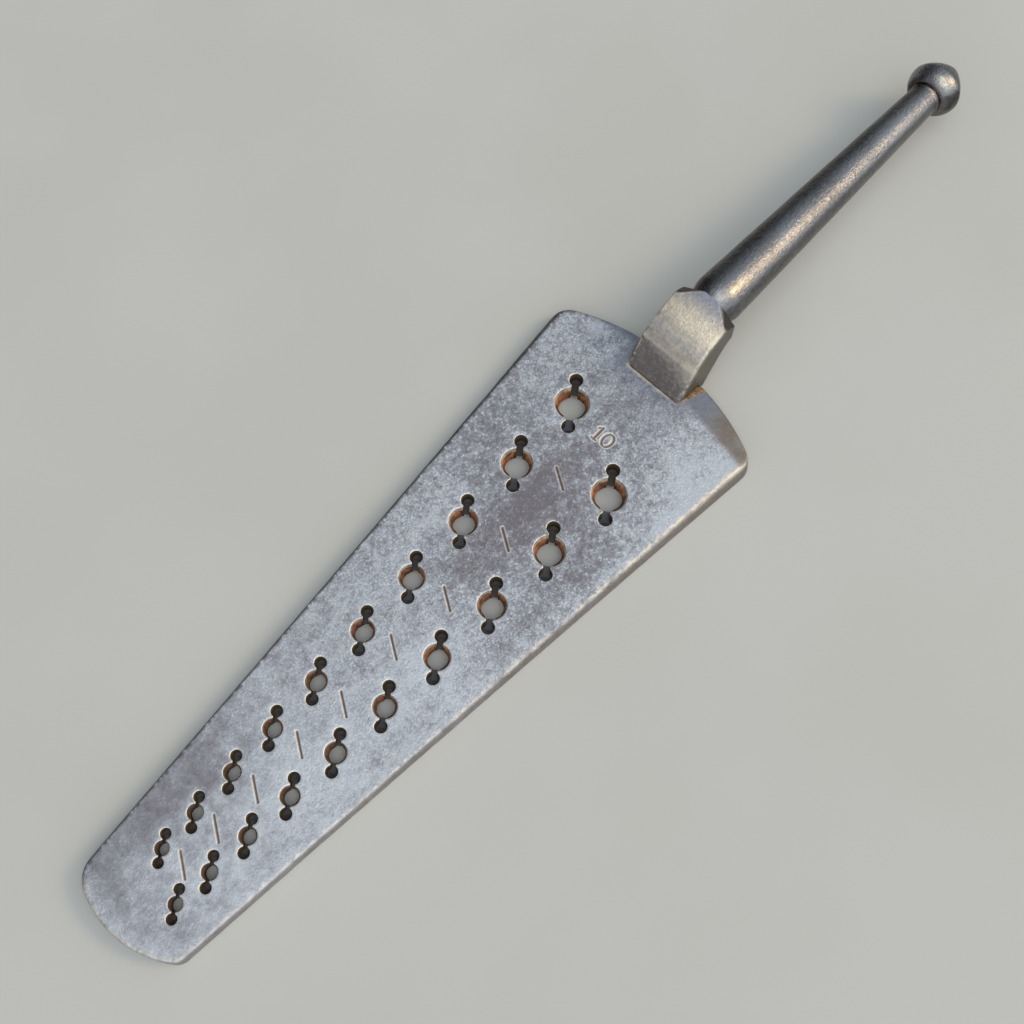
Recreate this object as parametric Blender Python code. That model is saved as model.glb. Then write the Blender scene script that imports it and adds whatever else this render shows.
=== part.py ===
"""Hand screw plate, forged in one piece: a tapered blade with two rows of threaded holes and a cranked handle.

The narrow end of the blade points to -X and the knob to +X. The blade lies flat on z = 0. Stations are
distances along the tool from the tip of its narrow end; world_x turns a station into a world coordinate.
"""
import math

import bmesh
import bpy
from mathutils import Matrix, Vector

MM = 0.001

# Blade: the outline of its top face, and its thickness at the two ends
BLADE_LENGTH = 179.4 * MM
BLADE_NARROW_WIDTH = 28.1 * MM
BLADE_WIDE_WIDTH = 60.4 * MM
BLADE_NARROW_THICKNESS = 4.2 * MM
BLADE_WIDE_THICKNESS = 5.0 * MM
NARROW_END_RADIUS = 26.0 * MM
NARROW_END_SHIFT = 1.5 * MM
WIDE_END_RADIUS = 60.0 * MM
NARROW_CORNER_LEFT = 4.0 * MM
NARROW_CORNER_RIGHT = 1.5 * MM
WIDE_CORNER = 3.5 * MM

# Edges: how far the underside stands out past the top face, along the sides and round the ends
SIDE_DRAFT_NARROW = 0.4 * MM
SIDE_DRAFT_WIDE = 1.8 * MM
END_DRAFT = 0.5 * MM
# Rounding of every edge: share of the thickness below the top face, and share of the draft reached there
EDGE_LEVELS = ((0.0, 0.0), (0.07, 0.28), (0.2, 0.5), (0.5, 0.78), (0.94, 1.0), (1.0, 0.85))

# Hammered-down rim of the wide end: the slope on each side of the neck, and its depth behind the edge next
# to the neck and at the blade's corner (below zero where it runs out before the corner)
RIM_SLOPE_RIGHT = math.radians(7.5)
RIM_DEPTHS_RIGHT = (7.4 * MM, 4.0 * MM)
RIM_SLOPE_LEFT = math.radians(11.0)
RIM_DEPTHS_LEFT = (3.0 * MM, -2.3 * MM)

# Figures: each is a threaded hole with a relief hole and a slot on both sides, largest next to the handle
FIGURES_PER_ROW = 10
FIGURE_ANGLE = math.radians(33.0)
RIM_RADIUS_LARGEST = 4.3 * MM
SIZE_RATIO = 0.9
BELL_WIDTH_LARGEST = 1.0 * MM
BELL_WIDTH_SMALLEST = 0.25 * MM
BELL_DEPTH_LARGEST = 1.3 * MM
BELL_DEPTH_SMALLEST = 0.6 * MM
BACK_CHAMFER = 0.3 * MM
RELIEF_RADIUS_LARGEST = 1.72 * MM
RELIEF_RADIUS_SMALLEST = 1.25 * MM
RELIEF_TAPER = 0.66
RELIEF_LAND = 0.15 * MM
SLOT_WIDTH_LARGEST = 1.8 * MM
SLOT_WIDTH_SMALLEST = 0.85 * MM
HOLE_SIDES = 20
RELIEF_SIDES = 8

# Rows: distances of the smallest figure from the narrow end and of the largest from the wide end, how much
# wider the last gap is than the first, and the offsets from the centre line of the smallest and the largest
LEFT_ROW_ENDS = (18.6 * MM, 25.3 * MM)
LEFT_ROW_GROWTH = 2.07
LEFT_ROW_OFFSETS = (5.1 * MM, 10.6 * MM)
RIGHT_ROW_ENDS = (13.0 * MM, 36.8 * MM)
RIGHT_ROW_GROWTH = 2.13
RIGHT_ROW_OFFSETS = (-5.4 * MM, -11.3 * MM)

# Neck: a bar that rises in a crank from the blade to the handle. Its face starts at its foot, bends to the
# flatter top and ends level with the handle; its back starts inside the blade and bends to the handle
NECK_WIDTH_FOOT = 16.2 * MM
NECK_WIDTH_TOP = 15.4 * MM
NECK_EDGE_BREAK = 0.45 * MM
NECK_CROWN = 0.5 * MM
NECK_FOOT_SETBACK = 8.1 * MM
NECK_BASE_LIFT = 0.25 * MM
NECK_REACH = 17.6 * MM
NECK_FACE_ANGLE = math.radians(66.0)
NECK_TOP_ANGLE = math.radians(26.0)
NECK_BEND_LENGTH = 4.4 * MM
NECK_DEPTH = 10.4 * MM
NECK_BACK_ANGLE = math.radians(68.0)
NECK_BACK_LEAN = 0.6 * MM
NECK_UNDER_LAND = 0.8 * MM
NECK_BEND_STEPS = 7
# Shoulder facets at the back of the neck: their length, the half width of the top between them, and how
# far they drop at the sides
SHOULDER_LENGTH = 4.4 * MM
SHOULDER_TOP_HALF_WIDTH = 2.0 * MM
SHOULDER_DROP = 4.8 * MM

# Notches that the fuller left beside the foot of the neck, and the step in front of it
NOTCH_WIDTH = 3.6 * MM
NOTCH_DEPTH = 2.6 * MM
NOTCH_UNDERCUT = 0.15 * MM
FOOT_STEP_WIDTH = 0.5 * MM
FOOT_STEP_DEPTH = 0.5 * MM
# How far inside the neck the cutters beside its foot start
NECK_OVERLAP = 3.0 * MM

# Handle: a round taper that drops towards the knob
HANDLE_ROOT_HEIGHT = 17.85 * MM
HANDLE_DROP = math.radians(4.0)
HANDLE_ROOT_RADIUS = 6.4 * MM
HANDLE_NECK_RADIUS = 4.2 * MM
HANDLE_LENGTH = 84.0 * MM
HANDLE_FLARE = 4.1 * MM
HANDLE_FLARE_RADIUS = 5.2 * MM
HANDLE_TANG = 4.0 * MM
HANDLE_TANG_RADIUS = 3.2 * MM
COLLAR_HEIGHT = 0.2 * MM
COLLAR_WIDTH = 0.6 * MM
KNOB_RADIUS = 7.1 * MM
KNOB_CHEEK = 4.2 * MM
KNOB_NOSE = 8.7 * MM
KNOB_NOSE_POWER = 1.26
HANDLE_SIDES = 28
SHARP_ANGLE = math.radians(35.0)

FOOT_STATION = BLADE_LENGTH - NECK_FOOT_SETBACK
HANDLE_ROOT_STATION = FOOT_STATION + NECK_REACH + HANDLE_FLARE
TIP_STATION = HANDLE_ROOT_STATION + (HANDLE_LENGTH + KNOB_CHEEK + KNOB_NOSE) * math.cos(HANDLE_DROP)
# How far the cutters reach past the faces that they cut, and the same for the narrow mouths of the holes
CUT_MARGIN = 0.6 * MM
MOUTH_MARGIN = 0.12 * MM


def blend(start, end, share):
    """Value that lies the given share of the way from start to end."""
    return start + (end - start) * share


def world_x(station):
    """World X of a station, with the origin under the middle of the tool's length."""
    return station - (TIP_STATION - END_DRAFT) / 2


def half_width(station):
    """Half the width of the blade's top face."""
    return blend(BLADE_NARROW_WIDTH, BLADE_WIDE_WIDTH, station / BLADE_LENGTH) / 2


def top_height(station):
    """Height of the blade's top face."""
    return blend(BLADE_NARROW_THICKNESS, BLADE_WIDE_THICKNESS, station / BLADE_LENGTH)


def new_object(name, mesh_builder, material=None):
    """Object with the given name, from a bmesh."""
    mesh = bpy.data.meshes.new(name)
    bmesh.ops.recalc_face_normals(mesh_builder, faces=mesh_builder.faces)
    mesh_builder.to_mesh(mesh)
    mesh_builder.free()
    part = bpy.data.objects.new(name, mesh)
    bpy.context.collection.objects.link(part)
    if material:
        mesh.materials.append(material)
    return part


def loft(name, sections, material=None):
    """Closed solid through sections that all have the same number of points."""
    builder = bmesh.new()
    rings = [[builder.verts.new(point) for point in section] for section in sections]
    for lower, upper in zip(rings, rings[1:]):
        for index in range(len(lower)):
            following = (index + 1) % len(lower)
            builder.faces.new((lower[index], lower[following], upper[following], upper[index]))
    builder.faces.new(list(reversed(rings[0])))
    builder.faces.new(rings[-1])
    return new_object(name, builder, material)


def shade_round(part):
    """Shade a rounded form smooth, with its corners kept sharp."""
    part.data.shade_smooth()
    part.data.set_sharp_from_angle(angle=SHARP_ANGLE)
    return part


def combine(target, name, tools, operation):
    """Cut the tools from the target, or join them to it, in one step."""
    collection = bpy.data.collections.new(name)
    bpy.context.scene.collection.children.link(collection)
    for tool in tools:
        bpy.context.collection.objects.unlink(tool)
        collection.objects.link(tool)
        tool.hide_render = True
        tool.display_type = "WIRE"
    modifier = target.modifiers.new(name, "BOOLEAN")
    modifier.operation = operation
    modifier.operand_type = "COLLECTION"
    modifier.collection = collection


def arc_crossing(centre, radius, side, towards_handle):
    """Station and Y where an end arc meets a side edge; side is 1 on the left and -1 on the right."""
    slope = (BLADE_WIDE_WIDTH - BLADE_NARROW_WIDTH) / 2 / BLADE_LENGTH * side
    start = BLADE_NARROW_WIDTH / 2 * side
    # Points of the edge are (s, start + slope * s); the crossing solves a quadratic in s
    offset = start - centre[1]
    a = 1 + slope ** 2
    b = 2 * (slope * offset - centre[0])
    c = centre[0] ** 2 + offset ** 2 - radius ** 2
    root = math.sqrt(b * b - 4 * a * c)
    station = (-b + (root if towards_handle else -root)) / (2 * a)
    return station, start + slope * station


def rounded_corner(before, corner, after, steps):
    """Points of a soft corner, between a point before it and a point after it."""
    points = []
    for step in range(steps + 1):
        share = step / steps
        first = Vector(before).lerp(Vector(corner), share)
        second = Vector(corner).lerp(Vector(after), share)
        points.append(tuple(first.lerp(second, share)))
    return points


def edge_point(station, side):
    """Point on a side edge of the blade's top face."""
    return station, half_width(station) * side


def arc_points(centre, radius, first_angle, last_angle, steps):
    """Points along an arc, both ends included."""
    points = []
    for step in range(steps + 1):
        angle = blend(first_angle, last_angle, step / steps)
        points.append((centre[0] + radius * math.cos(angle), centre[1] + radius * math.sin(angle)))
    return points


def angle_from(centre, point):
    """Angle of a point round a centre, from 0 to a full turn."""
    return math.atan2(point[1] - centre[1], point[0] - centre[0]) % (2 * math.pi)


def blade_outline():
    """Outline of the blade's top face in stations and Y, counter-clockwise from its right narrow corner."""
    narrow_centre = (NARROW_END_RADIUS, NARROW_END_SHIFT)
    wide_centre = (BLADE_LENGTH - WIDE_END_RADIUS, 0.0)
    corners = {}
    for side in (-1, 1):
        corners["narrow", side] = arc_crossing(narrow_centre, NARROW_END_RADIUS, side, False)
        corners["wide", side] = arc_crossing(wide_centre, WIDE_END_RADIUS, side, True)

    def corner(name, side, size, centre, radius, turn):
        """Rounded corner, from the edge to the arc; turn is the arc's direction away from the corner."""
        point = corners[name, side]
        inward = 1 if name == "narrow" else -1
        on_edge = edge_point(point[0] + inward * size, side)
        angle = angle_from(centre, point) + turn * size / radius
        on_arc = (centre[0] + radius * math.cos(angle), centre[1] + radius * math.sin(angle))
        return rounded_corner(on_edge, point, on_arc, 4)

    narrow_right = corner("narrow", -1, NARROW_CORNER_RIGHT, narrow_centre, NARROW_END_RADIUS, -1)
    narrow_left = corner("narrow", 1, NARROW_CORNER_LEFT, narrow_centre, NARROW_END_RADIUS, 1)
    wide_right = corner("wide", -1, WIDE_CORNER, wide_centre, WIDE_END_RADIUS, 1)
    wide_left = corner("wide", 1, WIDE_CORNER, wide_centre, WIDE_END_RADIUS, -1)

    outline = list(reversed(narrow_right))
    for share in (0.25, 0.5, 0.75):
        outline.append(edge_point(blend(narrow_right[0][0], wide_right[0][0], share), -1))
    outline += wide_right
    first = angle_from(wide_centre, wide_right[-1]) - 2 * math.pi
    last = angle_from(wide_centre, wide_left[-1])
    outline += arc_points(wide_centre, WIDE_END_RADIUS, first, last, 12)[1:-1]
    outline += list(reversed(wide_left))
    for share in (0.25, 0.5, 0.75):
        outline.append(edge_point(blend(wide_left[0][0], narrow_left[0][0], share), 1))
    outline += narrow_left
    first = angle_from(narrow_centre, narrow_left[-1])
    last = angle_from(narrow_centre, narrow_right[-1])
    outline += arc_points(narrow_centre, NARROW_END_RADIUS, first, last, 8)[1:-1]
    return outline


def outward_normals(outline):
    """Outward direction at each point of a counter-clockwise outline."""
    normals = []
    for index in range(len(outline)):
        before = Vector(outline[index - 1])
        after = Vector(outline[(index + 1) % len(outline)])
        along = (after - before).normalized()
        normals.append(Vector((along.y, -along.x)))
    return normals


def draft_at(station, normal):
    """How far the underside stands out past the top face, at a station and an outward direction."""
    share = max(0.0, min(1.0, station / BLADE_LENGTH))
    side_draft = blend(SIDE_DRAFT_NARROW, SIDE_DRAFT_WIDE, share ** 2)
    return blend(END_DRAFT, side_draft, normal.y ** 2)


def build_blade(material):
    """Tapered blade with drafted, rounded edges, before anything is cut from it."""
    outline = blade_outline()
    normals = outward_normals(outline)
    sections = []
    for depth_share, draft_share in reversed(EDGE_LEVELS):
        section = []
        for point, normal in zip(outline, normals):
            moved = Vector(point) + normal * draft_at(point[0], normal) * draft_share
            height = top_height(moved.x) * (1 - depth_share)
            section.append((world_x(moved.x), moved.y, height))
        sections.append(section)
    return loft("screw_plate", sections, material)


def build_wedge(name, points):
    """Convex cutter round a set of points."""
    builder = bmesh.new()
    for point in points:
        builder.verts.new(point)
    hull = bmesh.ops.convex_hull(builder, input=builder.verts)
    loose = [item for item in hull["geom_interior"] if isinstance(item, bmesh.types.BMVert)]
    bmesh.ops.delete(builder, geom=loose, context="VERTS")
    return new_object(name, builder)


def wide_end_station(y):
    """Station of the wide end's edge at a distance from the centre line."""
    return BLADE_LENGTH - WIDE_END_RADIUS + math.sqrt(WIDE_END_RADIUS ** 2 - y ** 2)


def build_rim_cutter(name, side, depths, slope):
    """Wedge above the hammered-down rim of the wide end, on one side of the neck."""
    foot_half = NECK_WIDTH_FOOT / 2
    corner_half = BLADE_WIDE_WIDTH / 2
    neck_start = wide_end_station(foot_half) - depths[0]
    corner_start = wide_end_station(corner_half) - depths[1]
    end = BLADE_LENGTH + CUT_MARGIN
    points = []
    for y in (foot_half - NECK_OVERLAP / 2, corner_half + SIDE_DRAFT_WIDE + CUT_MARGIN):
        start = blend(neck_start, corner_start, (y - foot_half) / (corner_half - foot_half))
        floor = top_height(start)
        lead = start - CUT_MARGIN
        points.append((world_x(lead), y * side, floor + math.tan(slope) * CUT_MARGIN))
        points.append((world_x(start), y * side, floor + CUT_MARGIN))
        points.append((world_x(end), y * side, floor - math.tan(slope) * (end - start)))
        points.append((world_x(end), y * side, floor + CUT_MARGIN))
    return build_wedge(name, points)


def build_notch_cutter(name, side):
    """V-shaped notch along the foot, from nothing at its front corner to its full size at the rim."""
    foot_half = NECK_WIDTH_FOOT / 2
    inner = (foot_half - NECK_OVERLAP) * side
    valley = (foot_half - NOTCH_UNDERCUT) * side
    front = world_x(FOOT_STATION)
    back = world_x(BLADE_LENGTH + CUT_MARGIN)
    surface = top_height(BLADE_LENGTH)
    points = [
        (front, inner, surface),
        (front, inner, surface + NOTCH_DEPTH),
        (front, valley, surface),
        (back, inner, surface - NOTCH_DEPTH),
        (back, inner, surface + NOTCH_DEPTH),
        (back, valley, surface - NOTCH_DEPTH),
        (back, valley + 2 * NOTCH_WIDTH * side, surface + NOTCH_DEPTH),
    ]
    return build_wedge(name, points)


def build_step_cutter():
    """Shallow step across the blade, in front of the neck's foot."""
    front = FOOT_STATION - FOOT_STEP_WIDTH
    back = FOOT_STATION + FOOT_STEP_WIDTH
    surface = top_height(front)
    half = NECK_WIDTH_FOOT / 2 - NECK_EDGE_BREAK
    points = []
    for y in (-half, half):
        points.append((world_x(front), y, surface))
        points.append((world_x(front), y, surface + CUT_MARGIN))
        points.append((world_x(FOOT_STATION - FOOT_STEP_WIDTH / 3), y, surface - FOOT_STEP_DEPTH))
        points.append((world_x(back), y, surface - FOOT_STEP_DEPTH))
        points.append((world_x(back), y, surface + CUT_MARGIN))
    return build_wedge("foot_step", points)


def neck_face_profile():
    """Distances from the foot and heights along the neck's face, from inside the blade to the handle."""
    axis_height = HANDLE_ROOT_HEIGHT + HANDLE_FLARE * math.tan(HANDLE_DROP)
    foot = Vector((0.0, top_height(FOOT_STATION)))
    end = Vector((NECK_REACH, axis_height + HANDLE_FLARE_RADIUS))
    face_slope = math.tan(NECK_FACE_ANGLE)
    top_slope = math.tan(NECK_TOP_ANGLE)
    corner_x = (end.y - foot.y - top_slope * end.x) / (face_slope - top_slope)
    corner = Vector((corner_x, foot.y + face_slope * corner_x))
    up_face = Vector((math.cos(NECK_FACE_ANGLE), math.sin(NECK_FACE_ANGLE)))
    along_top = Vector((math.cos(NECK_TOP_ANGLE), math.sin(NECK_TOP_ANGLE)))
    bend = rounded_corner(corner - up_face * NECK_BEND_LENGTH, corner, corner + along_top * NECK_BEND_LENGTH,
                          NECK_BEND_STEPS)
    base = foot - up_face * (foot.y - NECK_BASE_LIFT) / math.sin(NECK_FACE_ANGLE)
    shoulder = end - along_top * SHOULDER_LENGTH
    return [base] + [Vector(point) for point in bend] + [shoulder, end]


def neck_back_profile(point_count):
    """Distances from the foot and heights along the neck's back, from inside the blade to the handle."""
    axis_height = HANDLE_ROOT_HEIGHT + HANDLE_FLARE * math.tan(HANDLE_DROP)
    start = Vector((NECK_DEPTH, NECK_BASE_LIFT))
    end = Vector((NECK_REACH + NECK_BACK_LEAN, axis_height - HANDLE_FLARE_RADIUS - NECK_UNDER_LAND))
    corner = Vector((start.x + (end.y - start.y) / math.tan(NECK_BACK_ANGLE), end.y))
    return [Vector(point) for point in rounded_corner(start, corner, end, point_count - 1)]


def neck_section(front, back, half, crown, shoulder):
    """Section of the neck between a front and a back point; shoulder is 1 at its back end and 0 before it."""
    front_point = Vector((world_x(FOOT_STATION + front.x), 0.0, front.y))
    back_point = Vector((world_x(FOOT_STATION + back.x), 0.0, back.y))
    down = (back_point - front_point).normalized()
    across = Vector((0.0, 1.0, 0.0))
    edge_y = blend(half - NECK_EDGE_BREAK, SHOULDER_TOP_HALF_WIDTH, shoulder)
    edge_drop = blend(NECK_EDGE_BREAK, SHOULDER_DROP, shoulder)
    crown_y = min(half, edge_y) / 2
    outline = []
    for side in (-1, 1):
        ordered = [
            front_point + across * crown_y * side - down * crown,
            front_point + across * edge_y * side,
            front_point + across * half * side + down * edge_drop,
            back_point + across * half * side - down * NECK_EDGE_BREAK,
            back_point + across * (half - NECK_EDGE_BREAK) * side,
        ]
        outline += ordered if side == -1 else list(reversed(ordered))
    return [tuple(point) for point in outline]


def build_neck():
    """Neck that rises in a crank from the blade, with faceted shoulders behind its top face."""
    fronts = neck_face_profile()
    backs = neck_back_profile(len(fronts))
    last = len(fronts) - 1
    sections = []
    for index, (front, back) in enumerate(zip(fronts, backs)):
        share = index / last
        half = blend(NECK_WIDTH_FOOT, NECK_WIDTH_TOP, share) / 2
        shoulder = 1.0 if index == last else 0.0
        sections.append(neck_section(front, back, half, NECK_CROWN * share * (1 - shoulder), shoulder))
    return shade_round(loft("neck", sections))


def handle_profile():
    """Distances along the handle's axis from its root, and radii, from the tang to the knob's nose."""
    collar = HANDLE_NECK_RADIUS + COLLAR_HEIGHT
    profile = [
        (-HANDLE_FLARE - HANDLE_TANG, HANDLE_TANG_RADIUS),
        (-HANDLE_FLARE, HANDLE_FLARE_RADIUS),
        (-HANDLE_FLARE / 2, blend(HANDLE_FLARE_RADIUS, HANDLE_ROOT_RADIUS, 0.8)),
        (0.0, HANDLE_ROOT_RADIUS),
        (HANDLE_LENGTH / 2, blend(HANDLE_ROOT_RADIUS, HANDLE_NECK_RADIUS, 0.5)),
        (HANDLE_LENGTH - 2 * COLLAR_WIDTH, HANDLE_NECK_RADIUS),
        (HANDLE_LENGTH - COLLAR_WIDTH, collar),
        (HANDLE_LENGTH - COLLAR_WIDTH / 2, collar),
        (HANDLE_LENGTH, HANDLE_NECK_RADIUS - COLLAR_HEIGHT),
    ]
    cheek_steps = 4
    for step in range(1, cheek_steps + 1):
        angle = math.pi / 2 * step / cheek_steps
        distance = HANDLE_LENGTH + KNOB_CHEEK * (1 - math.cos(angle))
        profile.append((distance, blend(HANDLE_NECK_RADIUS, KNOB_RADIUS, math.sin(angle))))
    nose_steps = 7
    for step in range(1, nose_steps):
        share = math.sin(math.pi / 2 * step / nose_steps)
        radius = KNOB_RADIUS * (1 - share ** KNOB_NOSE_POWER) ** (1 / KNOB_NOSE_POWER)
        profile.append((HANDLE_LENGTH + KNOB_CHEEK + KNOB_NOSE * share, radius))
    return profile


def build_handle():
    """Round handle with its knob, turned about an axis that drops towards the knob."""
    rings = []
    for distance, radius in handle_profile():
        ring = []
        for side in range(HANDLE_SIDES):
            angle = 2 * math.pi * (side + 0.5) / HANDLE_SIDES
            ring.append((distance, radius * math.cos(angle), radius * math.sin(angle)))
        rings.append(ring)
    builder = bmesh.new()
    loops = [[builder.verts.new(point) for point in ring] for ring in rings]
    for inner, outer in zip(loops, loops[1:]):
        for side in range(HANDLE_SIDES):
            following = (side + 1) % HANDLE_SIDES
            builder.faces.new((inner[side], outer[side], outer[following], inner[following]))
    builder.faces.new(loops[0])
    tip = builder.verts.new((HANDLE_LENGTH + KNOB_CHEEK + KNOB_NOSE, 0.0, 0.0))
    for side in range(HANDLE_SIDES):
        builder.faces.new((loops[-1][side], tip, loops[-1][(side + 1) % HANDLE_SIDES]))
    root = Matrix.Translation((world_x(HANDLE_ROOT_STATION), 0.0, HANDLE_ROOT_HEIGHT))
    bmesh.ops.transform(builder, matrix=root @ Matrix.Rotation(HANDLE_DROP, 4, "Y"), verts=builder.verts)
    return shade_round(new_object("handle", builder))


def figure_outline(hole, relief, pitch, slot_half):
    """Outline of one figure: a round hole and two relief holes, joined by straight slots along local X."""
    hole_angle = math.asin(slot_half / hole)
    relief_angle = math.asin(slot_half / relief)
    hole_steps = HOLE_SIDES // 2
    outline = []
    for direction in (1, -1):
        turn = 0.0 if direction == 1 else math.pi
        centre = (pitch * direction, 0.0)
        first = turn - math.pi + relief_angle
        last = turn + math.pi - relief_angle
        outline += arc_points(centre, relief, first, last, RELIEF_SIDES)
        outline += arc_points((0.0, 0.0), hole, turn + hole_angle, turn + math.pi - hole_angle, hole_steps)
    return outline


def build_figure_cutter(name, centre, size_step):
    """Cutter of one figure; size_step is 0 for the largest and counts up to the smallest."""
    share = size_step / (FIGURES_PER_ROW - 1)
    rim = RIM_RADIUS_LARGEST * SIZE_RATIO ** size_step
    bell_width = blend(BELL_WIDTH_LARGEST, BELL_WIDTH_SMALLEST, share)
    bell_depth = blend(BELL_DEPTH_LARGEST, BELL_DEPTH_SMALLEST, share)
    throat = rim - bell_width
    relief = blend(RELIEF_RADIUS_LARGEST, RELIEF_RADIUS_SMALLEST, share)
    slot_half = blend(SLOT_WIDTH_LARGEST, SLOT_WIDTH_SMALLEST, share) / 2
    pitch = rim + relief + RELIEF_LAND
    surface = top_height(centre[0])
    bell_slope = bell_width / bell_depth
    levels = (
        (-MOUTH_MARGIN, throat + BACK_CHAMFER + MOUTH_MARGIN),
        (BACK_CHAMFER, throat),
        (surface - bell_depth, throat),
        (surface + MOUTH_MARGIN, rim + bell_slope * MOUTH_MARGIN),
    )
    sections = []
    for height, hole in levels:
        relief_here = relief * blend(RELIEF_TAPER, 1.0, height / surface)
        section = []
        for along, across in figure_outline(hole, relief_here, pitch, slot_half):
            x = centre[0] + along * math.cos(FIGURE_ANGLE) - across * math.sin(FIGURE_ANGLE)
            y = centre[1] + along * math.sin(FIGURE_ANGLE) + across * math.cos(FIGURE_ANGLE)
            section.append((world_x(x), y, height))
        sections.append(section)
    return loft(name, sections)


def row_centres(ends, growth, offsets):
    """Stations and Y of one row's figures, from the smallest to the largest; the gaps grow evenly."""
    gap_count = FIGURES_PER_ROW - 1
    run = BLADE_LENGTH - ends[0] - ends[1]
    first_gap = run / (gap_count * (1 + growth) / 2)
    centres = []
    distance = 0.0
    for index in range(FIGURES_PER_ROW):
        centres.append((ends[0] + distance, blend(offsets[0], offsets[1], distance / run)))
        distance += blend(first_gap, first_gap * growth, index / (gap_count - 1))
    return centres


def build_figure_cutters():
    """Cutters of all the figures in both rows."""
    rows = {
        "left": row_centres(LEFT_ROW_ENDS, LEFT_ROW_GROWTH, LEFT_ROW_OFFSETS),
        "right": row_centres(RIGHT_ROW_ENDS, RIGHT_ROW_GROWTH, RIGHT_ROW_OFFSETS),
    }
    cutters = []
    for row, centres in rows.items():
        for index, centre in enumerate(centres):
            size_step = FIGURES_PER_ROW - 1 - index
            cutters.append(build_figure_cutter(f"figure_{row}_{size_step}", centre, size_step))
    return cutters


def steel():
    """Worn blue-grey forged steel."""
    material = bpy.data.materials.new("worn_forged_steel")
    material.use_nodes = True
    shader = material.node_tree.nodes["Principled BSDF"]
    shader.inputs["Base Color"].default_value = (0.30, 0.31, 0.34, 1.0)
    shader.inputs["Metallic"].default_value = 0.85
    shader.inputs["Roughness"].default_value = 0.5
    return material


def build_screw_plate():
    """The whole tool, in one forging."""
    plate = build_blade(steel())
    rims_and_notches = [
        build_rim_cutter("rim_right", -1, RIM_DEPTHS_RIGHT, RIM_SLOPE_RIGHT),
        build_rim_cutter("rim_left", 1, RIM_DEPTHS_LEFT, RIM_SLOPE_LEFT),
        build_notch_cutter("notch_right", -1),
        build_notch_cutter("notch_left", 1),
        build_step_cutter(),
    ]
    combine(plate, "wide_end_cuts", rims_and_notches, "DIFFERENCE")
    combine(plate, "neck_and_handle", [build_neck(), build_handle()], "UNION")
    combine(plate, "figures", build_figure_cutters(), "DIFFERENCE")


def main():
    for old in list(bpy.data.objects):
        bpy.data.objects.remove(old)
    build_screw_plate()


main()
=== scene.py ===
"""Looks of the hand screw plate: patinated blade with rusted thread holes, cranked neck and dark steel
handle, with painted light and shade on each.

Stations are millimetres along the tool from the tip of its narrow end, as the smith would lay it out. The
narrow end points to -X, the knob to +X, and the blade lies flat on z = 0.
"""
import logging
import math
from dataclasses import dataclass, field
from enum import Enum

import bmesh
import bpy
import numpy as np
from mathutils import Euler, Matrix, Vector, geometry, kdtree, noise


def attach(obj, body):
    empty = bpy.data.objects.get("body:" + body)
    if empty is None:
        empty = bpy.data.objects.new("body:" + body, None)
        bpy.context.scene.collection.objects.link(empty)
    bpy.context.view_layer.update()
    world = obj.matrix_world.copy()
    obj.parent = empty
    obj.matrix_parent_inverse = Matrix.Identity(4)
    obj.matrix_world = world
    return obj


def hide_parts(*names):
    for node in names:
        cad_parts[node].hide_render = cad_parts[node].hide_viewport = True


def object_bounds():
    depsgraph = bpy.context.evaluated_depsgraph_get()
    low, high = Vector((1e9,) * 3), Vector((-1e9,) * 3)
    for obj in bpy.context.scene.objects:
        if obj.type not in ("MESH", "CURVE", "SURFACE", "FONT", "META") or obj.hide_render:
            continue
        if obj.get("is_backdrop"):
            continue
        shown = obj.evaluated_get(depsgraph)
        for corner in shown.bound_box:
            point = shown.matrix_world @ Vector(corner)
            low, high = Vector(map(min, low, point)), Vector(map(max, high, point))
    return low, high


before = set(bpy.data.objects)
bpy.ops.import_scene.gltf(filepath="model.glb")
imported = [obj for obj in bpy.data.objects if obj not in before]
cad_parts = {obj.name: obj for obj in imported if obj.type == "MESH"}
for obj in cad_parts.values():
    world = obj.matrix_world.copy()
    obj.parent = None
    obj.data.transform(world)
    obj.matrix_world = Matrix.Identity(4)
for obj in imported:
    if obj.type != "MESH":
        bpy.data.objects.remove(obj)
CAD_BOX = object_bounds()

MM = 0.001
BODY = "root"
CAD_NODE = "screw_plate"
LOG = logging.getLogger("screw_plate")

Colour = tuple[float, float, float, float]
Span = tuple[float, float]
Inputs = dict[str | int, object]


def srgb(red: float, green: float, blue: float) -> Colour:
    """Linear colour of a screen colour given from 0 to 255."""
    def linear(value: float) -> float:
        """Linear value of one channel."""
        share = value / 255
        return share / 12.92 if share <= 0.04045 else ((share + 0.055) / 1.055) ** 2.4
    return (linear(red), linear(green), linear(blue), 1.0)


def blend(start: float, end: float, share: float) -> float:
    """Value that lies the given share of the way from start to end."""
    return start + (end - start) * share


def soft_step(values: np.ndarray | float, low: float, high: float) -> np.ndarray | float:
    """Smooth rise from 0 to 1 between low and high."""
    share = np.clip((values - low) / (high - low), 0.0, 1.0)
    return share * share * (3 - 2 * share)


class Side(Enum):
    """Side of the centre line, seen from the narrow end with the top face up."""
    LEFT = 1
    RIGHT = -1


class End(Enum):
    """End of the blade, and the way along the tool in which it lies."""
    NARROW = -1
    WIDE = 1


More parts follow.
